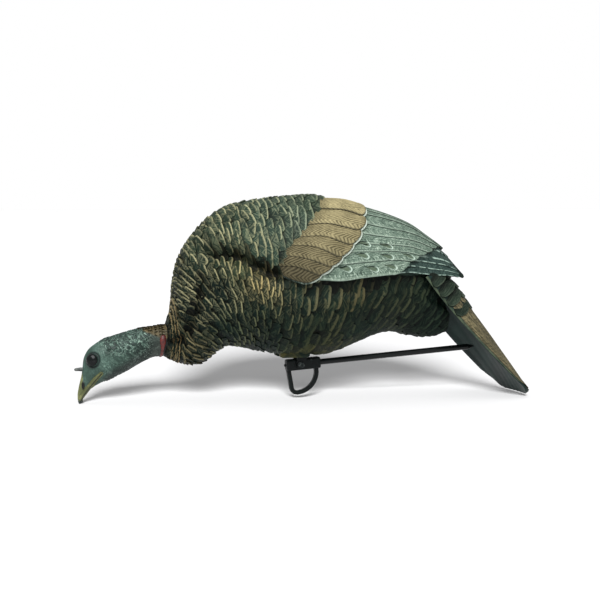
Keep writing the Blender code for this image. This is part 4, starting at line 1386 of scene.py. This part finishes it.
def head_shape(points, angle):
    """Heights in millimetres and painting masks for points of the head."""
    x, y, z = points[:, 0], points[:, 1], points[:, 2]
    seat, _ = eye_seat(1)
    mirrored = np.stack([x, np.abs(y), z], -1)
    from_eye = np.linalg.norm(mirrored - seat, axis=-1)
    sided = smoothstep(0.2, 0.5, np.abs(np.sin(angle)))
    lid = np.exp(-(((from_eye - 9.7) / 1.6) ** 2))
    socket = 1.0 - smoothstep(7.0, 8.6, from_eye)
    from_mouth = distance_to_path(points, MOUTH)
    mouth = np.exp(-((from_mouth / 0.95) ** 2)) * sided
    narrowing = 1.6 * smoothstep(-284.0, -273.0, x)
    beak_strip = 1.0 - smoothstep(3.9 - narrowing, 4.7 - narrowing, from_mouth)
    bill = 1.0 - smoothstep(21.0, 24.0, z + 0.25 * (x + 292.0))
    culmen = (1.0 - smoothstep(38.0, 42.0, z)) * (1.0 - smoothstep(-296.4, -295.2, x))
    beak = np.clip(np.maximum(np.maximum(beak_strip * (x < BEAK_STRIP_END), bill), culmen), 0, 1)
    from_ear = np.hypot(x - EAR[0], z - EAR[1])
    ear = np.exp(-((from_ear / 2.2) ** 2)) * sided
    ear_rim = np.exp(-((from_ear - 3.6) ** 2)) * sided
    nostril_reach = np.hypot((x - NOSTRIL[0]) / 2.3, (z - NOSTRIL[1]) / 6.2)
    nostril = (1.0 - smoothstep(0.6, 1.1, nostril_reach)) * sided
    back = smoothstep(-283.0, -262.0, x) * (1.0 - 0.75 * smoothstep(-212.0, -200.0, x))
    crown = smoothstep(58.0, 80.0, z + 0.25 * (x + 250.0))
    wrinkled = np.clip(back * (0.45 + 0.7 * crown), 0.0, 1.0) * (1.0 - beak)
    wrinkled = wrinkled * smoothstep(9.0, 14.0, from_eye)
    throat = 1.0 - smoothstep(0.0, 14.0, z - (35.0 + 0.62 * (x + 262.0)))
    throat = throat * smoothstep(-272.0, -262.0, x)
    neck = smoothstep(-216.0, -206.0, x)
    from_top = np.abs(np.degrees(np.angle(np.exp(1j * angle))))
    beyond_nape = from_top - np.interp(x, (-222, -190), (18, 78))
    nape = smoothstep(-219.0, -212.0, x) * (1.0 - smoothstep(0.0, 12.0, beyond_nape))
    height = 1.2 * lid - 3.0 * socket - 1.5 * mouth - 1.6 * ear + 0.5 * ear_rim - 1.3 * nostril
    height = height + 0.5 * beak_strip * (1.0 - mouth) * (x < BEAK_STRIP_END)
    masks = {"lid": lid, "mouth": mouth, "beak": beak, "ear": ear, "nostril": nostril}
    masks.update({"wrinkled": wrinkled, "throat": throat, "neck": neck, "nape": nape})
    return height, masks


def build_head():
    rows, columns = 300, 240
    loft = Loft(HEAD_ROWS)
    grid_u, grid_a = loft_grid(loft, rows, columns)
    flat = loft.at(grid_u, grid_a, 0.0).reshape(-1, 3)
    normals = loft.normal(grid_u, grid_a).reshape(-1, 3)
    height, masks = head_shape(flat, grid_a.ravel())
    crest = ridged(flat, 0.27, 3.0)
    fine = ridged(flat, 0.55, 11.0)
    wrinkled = masks["wrinkled"]
    height = height + wrinkled * (1.5 * (crest - 0.45) + 0.45 * (fine - 0.5))
    height = height + 0.12 * (fine - 0.5) * (1 - masks["beak"])
    points = flat + normals * height[:, None]
    skin = head_colours(flat, masks, 0.6 * crest + 0.4 * fine)
    faces = grid_faces(rows, columns, closed=True).tolist()
    for start in (0, (rows - 1) * columns):
        points = cap(points, faces, start, columns)
        skin = np.vstack([skin, skin[start][None]])
    head = add_mesh("head_skin", points, faces, {"tone": skin}, head_paint())
    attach(head, "head")
    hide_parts("head_shell")
    build_nape(loft)
    build_eyes()
    build_snood()
    build_neck_ring()


def head_colours(flat, masks, wrinkle):
    """The head's paint for each point, laid on in layers from the skin's blue-green to the dark details."""
    valley = (1.0 - smoothstep(0.15, 0.6, wrinkle)) * masks["wrinkled"]
    peak = smoothstep(0.55, 0.9, wrinkle) * masks["wrinkled"]
    bare = 1.0 - masks["nape"]
    layers = (
        ((1.0 - smoothstep(-285.0, -262.0, flat[:, 0])) * 0.6, paint(56, 78, 70)),
        (masks["throat"] * 0.8, paint(50, 52, 52)),
        (masks["neck"] * 0.85, paint(60, 66, 60)),
        (masks["nape"], paint(92, 80, 54)),
        (valley * 0.95 * bare, paint(22, 38, 34)),
        (peak * 0.8 * bare, paint(156, 178, 164)),
        # Painted shade: the head's end behind the red roll is painted dark like the shadowed gap to the
        # body.
        (smoothstep(-189.5, -188.0, flat[:, 0]) * bare, paint(18, 26, 24)),
        (masks["lid"], paint(20, 32, 32)),
        (masks["beak"], paint(112, 114, 74)),
        (masks["beak"] * (1.0 - smoothstep(2.0, 8.0, flat[:, 2])), paint(40, 48, 44)),
        (masks["mouth"], paint(20, 26, 24)),
        (masks["nostril"], paint(14, 18, 16)),
        (masks["ear"], paint(24, 38, 34)),
    )
    skin = np.tile(paint(74, 98, 88), (len(flat), 1))
    for share, colour in layers:
        skin = skin + (colour - skin) * np.clip(share, 0, 1)[:, None]
    return skin


def head_paint():
    n = Nodes("head_paint", roughness=0.5, specular=0.25)
    tone = n.attribute("tone", True)
    speckle = n.noise(620.0, 3.0, 0.7)
    dark = n.tint(tone, (0.36, 0.42, 0.40))
    tone = n.mix(n.span(n.noise(75.0, 4.0, 0.6), 0.62, 0.4, 0.0, 0.75), tone, dark)
    light = n.tint(tone, (1.75, 1.7, 1.65))
    colour = n.mix(n.span(speckle, 0.3, 0.5), dark, tone)
    colour = n.mix(n.span(speckle, 0.55, 0.75, 0.0, 0.6), colour, light)
    return n.finish(colour, n.bump(speckle, 0.3, 0.0005), n.span(n.noise(80.0), 0.3, 0.7, 0.42, 0.6))


def build_nape(loft):
    """Short brown barred feathers on top of the neck, next to the red roll."""
    random = np.random.default_rng(SEED + 4)
    blades = []
    for row in range(6):
        x = -211.0 + 5.2 * row
        reach = min(24.0 + 13.0 * row, 76.0)
        count = 4 + 2 * row
        u = float(np.interp(x, HEAD_ROWS[::-1, 2], np.arange(len(HEAD_ROWS))[::-1]))
        half = np.array([0.0, math.radians(reach / count * 1.25)])
        for k in range(count):
            angle = math.radians(-reach + 2 * reach * (k + 0.5) / count)
            blades.append(
                blade(
                    np.array([u + 1.0, angle]), np.array([u + 0.1, angle]), half, root_share=1.0,
                    tip=[-0.28, 0.0], square=2.4, taper=0.1, lift=[-0.4, 0.45], tilt=0.2, crown=0.2,
                    lip=0.1, dip=0.9, length=9.0, width=5.0, seed=random.uniform(0, 1),
                    base=paint(120, 106, 72) * random.uniform(0.8, 1.2), edge=paint(168, 148, 104),
                )
            )
    look = feather_paint("nape_paint", barb_scale=1.6, stroke=0.6)
    nape = feathers("nape_feathers", loft, blades, look, rows=8, columns=7)
    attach(nape, "head")


def build_eyes():
    rings, segments = 40, 56
    for side, name in ((-1, "left"), (1, "right")):
        seat, outward = eye_seat(side)
        first = np.cross(outward, (0, 0, 1))
        first = first / np.linalg.norm(first)
        second = np.cross(outward, first)
        theta = np.linspace(0, math.pi, rings)[:, None]
        phi = np.linspace(0, 2 * math.pi, segments, endpoint=False)[None, :]
        points = seat - EYE_SINK * outward + (
            EYE_DOME * (np.cos(theta) + 0 * phi)[..., None] * outward
            + EYE_RADIUS * (np.sin(theta) * np.cos(phi))[..., None] * first
            + EYE_RADIUS * (np.sin(theta) * np.sin(phi))[..., None] * second
        )
        pupil = np.broadcast_to(1.0 - smoothstep(0.55, 0.62, theta), (rings, segments)).ravel()
        iris = np.broadcast_to(1.0 - smoothstep(0.95, 1.05, theta), (rings, segments)).ravel()
        eye = add_mesh(
            f"eye_{name}_gloss", points.reshape(-1, 3), grid_faces(rings, segments, closed=True).tolist(),
            {"pupil": pupil, "iris": iris}, eye_paint(),
        )
        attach(eye, "head")
        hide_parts(f"eye_{name}")


def eye_paint():
    n = Nodes("eye_paint", roughness=0.2, specular=0.18)
    grain = n.noise(900.0, 2.0)
    iris = n.mix(n.span(grain, 0.4, 0.6), paint(34, 34, 28), paint(52, 50, 40))
    colour = n.mix(n.attribute("iris"), paint(12, 15, 15), iris)
    colour = n.mix(n.attribute("pupil"), colour, paint(5, 6, 6))
    return n.finish(colour)


def sweep(path, radii, segments):
    """A tube along a path, with flat closed ends."""
    points = []
    for k, (centre, radius) in enumerate(zip(path, radii)):
        ahead = path[min(k + 1, len(path) - 1)] - path[max(k - 1, 0)]
        ahead = ahead / np.linalg.norm(ahead)
        side = np.cross(ahead, (0, 0, 1.0))
        side = side / np.linalg.norm(side)
        up = np.cross(side, ahead)
        for a in np.linspace(0, 2 * math.pi, segments, endpoint=False):
            points.append(centre + radius * (math.cos(a) * side + math.sin(a) * up))
    faces = grid_faces(len(path), segments, closed=True).tolist()
    faces.append(list(range(segments))[::-1])
    faces.append([(len(path) - 1) * segments + k for k in range(segments)])
    return np.array(points), faces


def build_snood():
    share = np.linspace(0, 1, 40)
    radii = 3.1 - 1.2 * share - 0.25 * np.sin(share * 22) * (1 - share)
    radii = radii * np.sqrt(np.clip(1 - ((share - 0.86) / 0.14).clip(0) ** 2, 0.02, 1))
    path = np.stack([-290.0 - 16.6 * share, 0 * share, 45.0 + 0.6 * np.sin(share * 3)], -1)
    points, faces = sweep(path, radii, 28)
    n = Nodes("snood_paint", roughness=0.45, specular=0.4)
    colour = n.mix(n.span(n.noise(300.0), 0.35, 0.65), paint(44, 50, 50), paint(84, 88, 84))
    material = n.finish(colour, n.bump(n.noise(700.0), 0.4, 0.0004))
    snood = add_mesh("snood_skin", points, faces, {}, material)
    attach(snood, "head")
    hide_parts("snood")


def build_neck_ring():
    """The red roll of bare skin where the neck meets the breast, thickest on the sides."""
    rows, columns = 220, 28
    turn = np.linspace(0, 2 * math.pi, rows, endpoint=False)[:, None]
    around = np.linspace(0, 2 * math.pi, columns, endpoint=False)[None, :]
    from_top = np.abs(np.angle(np.exp(1j * turn)))
    side_swell = np.exp(-(((from_top - 1.48) / 0.38) ** 2))
    ripple = 0.22 * np.sin(turn * 23) + 0.15 * np.sin(turn * 37 + 1)
    below = smoothstep(1.0, 1.25, from_top)
    thick = 0.7 + below * (1.2 + 2.1 * side_swell + ripple * 0.7)
    centre_x = -190.4 + 1.2 * np.cos(turn) - 0.6 * side_swell
    radius = 20.2 - 2.4 * (1 - below) + 0.7 * side_swell + thick * np.cos(around) * 0.9
    x = centre_x + thick * np.sin(around) * 1.05
    y, z = -radius * np.sin(turn), NECK_SEAM[2] + radius * np.cos(turn)
    points = np.stack([x, y, z], -1).reshape(-1, 3)
    first = np.arange(columns)
    following = (first + 1) % columns
    last = (rows - 1) * columns
    seam = np.stack([last + first, first, following, last + following], -1)
    faces = np.vstack([grid_faces(rows, columns, closed=True), seam]).tolist()
    n = Nodes("red_roll_paint", roughness=0.45, specular=0.4)
    cloud = n.noise(110.0, 4.0, 0.6)
    colour = n.mix(n.span(cloud, 0.3, 0.55), paint(46, 16, 16), paint(92, 34, 30))
    colour = n.mix(n.span(cloud, 0.55, 0.75, 0.0, 0.6), colour, paint(128, 72, 60))
    material = n.finish(colour, n.bump(n.noise(420.0, 3.0), 0.5, 0.0006))
    ring = add_mesh("neck_roll", points, faces, {}, material)
    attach(ring, "head")
    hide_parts("neck_ring")


# ---------------------------------------------------------------- stake and fasteners


def moulded_black(name):
    """Glass-filled black nylon with a faint sheen and scuffs."""
    n = Nodes(name, roughness=0.5, specular=0.15)
    scuff = n.noise(240.0, 4.0, 0.7)
    colour = n.mix(n.span(scuff, 0.4, 0.7), paint(6, 10, 10), paint(18, 26, 25))
    return n.finish(colour, n.bump(scuff, 0.25, 0.0004), n.span(scuff, 0.35, 0.7, 0.4, 0.6))


def painted_rod(name):
    n = Nodes(name, roughness=0.35, specular=0.22)
    drawn = n.tree.nodes.new("ShaderNodeMapping")
    n.plug(drawn.inputs["Vector"], n.place())
    drawn.inputs["Scale"].default_value = (12.0, 420.0, 420.0)
    grain = n.noise(1.0, 4.0, 0.6, drawn.outputs["Vector"])
    colour = n.mix(n.span(grain, 0.4, 0.7), paint(6, 9, 9), paint(18, 24, 23))
    return n.finish(colour, n.bump(grain, 0.2, 0.0003), n.span(grain, 0.35, 0.7, 0.28, 0.48))


def zinc_steel(name):
    n = Nodes(name, roughness=0.35, metallic=1.0, specular=0.5)
    spangle = n.noise(500.0, 3.0, 0.6)
    colour = n.mix(n.span(spangle, 0.35, 0.65), paint(120, 122, 120), paint(176, 178, 174))
    return n.finish(colour, n.bump(spangle, 0.1, 0.0002), n.span(spangle, 0.3, 0.7, 0.28, 0.45))


def blackened_steel(name):
    """Steel with a dark chemical finish, worn a little brighter in spots."""
    n = Nodes(name, roughness=0.45, metallic=1.0, specular=0.5)
    wear = n.noise(380.0, 4.0, 0.65)
    colour = n.mix(n.span(wear, 0.45, 0.7), paint(34, 38, 38), paint(84, 90, 88))
    return n.finish(colour, n.bump(wear, 0.15, 0.0002), n.span(wear, 0.3, 0.7, 0.38, 0.55))


def build_hardware():
    """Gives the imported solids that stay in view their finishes."""
    fasteners = [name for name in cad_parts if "screw" in name or "nut" in name]
    finishes = (
        (moulded_black("moulded_black"), ("stake_bracket", "step_handle", "neck_socket", "neck_plug")),
        (painted_rod("painted_rod"), ("stake_rod",)),
        (blackened_steel("blackened_steel"), ("fold_pin", "rod_pin", "fold_clip")),
        (zinc_steel("zinc_steel"), fasteners + ["neck_bolt", "neck_washer"]),
    )
    for material, names in finishes:
        for name in names:
            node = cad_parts[name]
            for place in node.material_slots:
                place.material = material


# ---------------------------------------------------------------- camera, light and floor

# The softbox lights all but the floor. The low lamp stands in front of the bird and lights only the floor,
# so that the bird throws a wide grey shadow behind it.
FLOOR_REACH = 40.0
FLOOR_COLOUR = (0.64, 0.64, 0.645)
FILL_STRENGTH = 0.5
SOFTBOX_FROM = Vector((-0.35, -0.75, 1.0))
SOFTBOX_STRENGTH = 4.4
SOFTBOX_SPREAD = math.radians(48.0)
CAMERA_YAW = math.radians(-13.0)
LOW_LAMP_RISE = math.radians(17.5)
LOW_LAMP_FROM = Vector((math.sin(CAMERA_YAW), -math.cos(CAMERA_YAW), math.tan(LOW_LAMP_RISE)))
LOW_LAMP_STRENGTH = 12.5
LOW_LAMP_SPREAD = math.radians(13.0)


def build_floor():
    corners = [(-FLOOR_REACH, -FLOOR_REACH, 0), (FLOOR_REACH, -FLOOR_REACH, 0)]
    corners += [(FLOOR_REACH, FLOOR_REACH, 0), (-FLOOR_REACH, FLOOR_REACH, 0)]
    mesh = bpy.data.meshes.new("floor")
    mesh.from_pydata(corners, [], [(0, 1, 2, 3)])
    n = Nodes("floor_paint", roughness=0.8, specular=0.1)
    mesh.materials.append(n.finish(np.array(FLOOR_COLOUR)))
    floor = bpy.data.objects.new("floor", mesh)
    bpy.context.collection.objects.link(floor)
    return floor


def add_lamp(name, source, strength, spread, floor, floor_state):
    """A sun lamp that lights nothing but the floor ("INCLUDE") or all except the floor ("EXCLUDE")."""
    lamp = bpy.data.lights.new(name, "SUN")
    lamp.energy = strength
    lamp.angle = spread
    sun = bpy.data.objects.new(name, lamp)
    sun.rotation_euler = (-source).to_track_quat("-Z", "Y").to_euler()
    bpy.context.collection.objects.link(sun)
    receivers = bpy.data.collections.new(name + "_receivers")
    receivers.objects.link(floor)
    receivers.collection_objects[0].light_linking.link_state = floor_state
    sun.light_linking.receiver_collection = receivers


def build_light(floor):
    """A wide soft lamp on the bird, a low front lamp for its shadow, an even fill and a white backdrop."""
    add_lamp("softbox", SOFTBOX_FROM, SOFTBOX_STRENGTH, SOFTBOX_SPREAD, floor, "EXCLUDE")
    add_lamp("low_lamp", LOW_LAMP_FROM, LOW_LAMP_STRENGTH, LOW_LAMP_SPREAD, floor, "INCLUDE")
    world = bpy.data.worlds.new("studio")
    bpy.context.scene.world = world
    world.use_nodes = True
    tree = world.node_tree
    fill = tree.nodes["Background"]
    fill.inputs["Color"].default_value = (1.0, 1.0, 1.0, 1.0)
    fill.inputs["Strength"].default_value = FILL_STRENGTH
    backdrop = tree.nodes.new("ShaderNodeBackground")
    backdrop.inputs["Color"].default_value = (1.0, 1.0, 1.0, 1.0)
    rays = tree.nodes.new("ShaderNodeLightPath")
    choice = tree.nodes.new("ShaderNodeMixShader")
    tree.links.new(rays.outputs["Is Camera Ray"], choice.inputs[0])
    tree.links.new(fill.outputs[0], choice.inputs[1])
    tree.links.new(backdrop.outputs[0], choice.inputs[2])
    tree.links.new(choice.outputs[0], tree.nodes["World Output"].inputs["Surface"])
    bpy.context.scene.view_settings.view_transform = "Standard"


CAMERA_RISE = math.radians(3.0)
CAMERA_DISTANCE = 2.6
CAMERA_AIM = (0.0, 0.0, 134.0)
VIEW_WIDTH = 0.8136


def build_camera():
    aim = Vector(placed(CAMERA_AIM))
    back = Vector(
        (
            math.sin(CAMERA_YAW) * math.cos(CAMERA_RISE),
            -math.cos(CAMERA_YAW) * math.cos(CAMERA_RISE),
            math.sin(CAMERA_RISE),
        )
    )
    data = bpy.data.cameras.new("camera")
    data.lens = data.sensor_width * CAMERA_DISTANCE / VIEW_WIDTH
    camera = bpy.data.objects.new("camera", data)
    camera.location = aim + back * CAMERA_DISTANCE
    camera.rotation_euler = (-back).to_track_quat("-Z", "Y").to_euler()
    bpy.context.collection.objects.link(camera)
    bpy.context.scene.camera = camera


build_light(build_floor())
build_camera()
build_body()
build_wings()
build_tail()
build_head()
build_hardware()
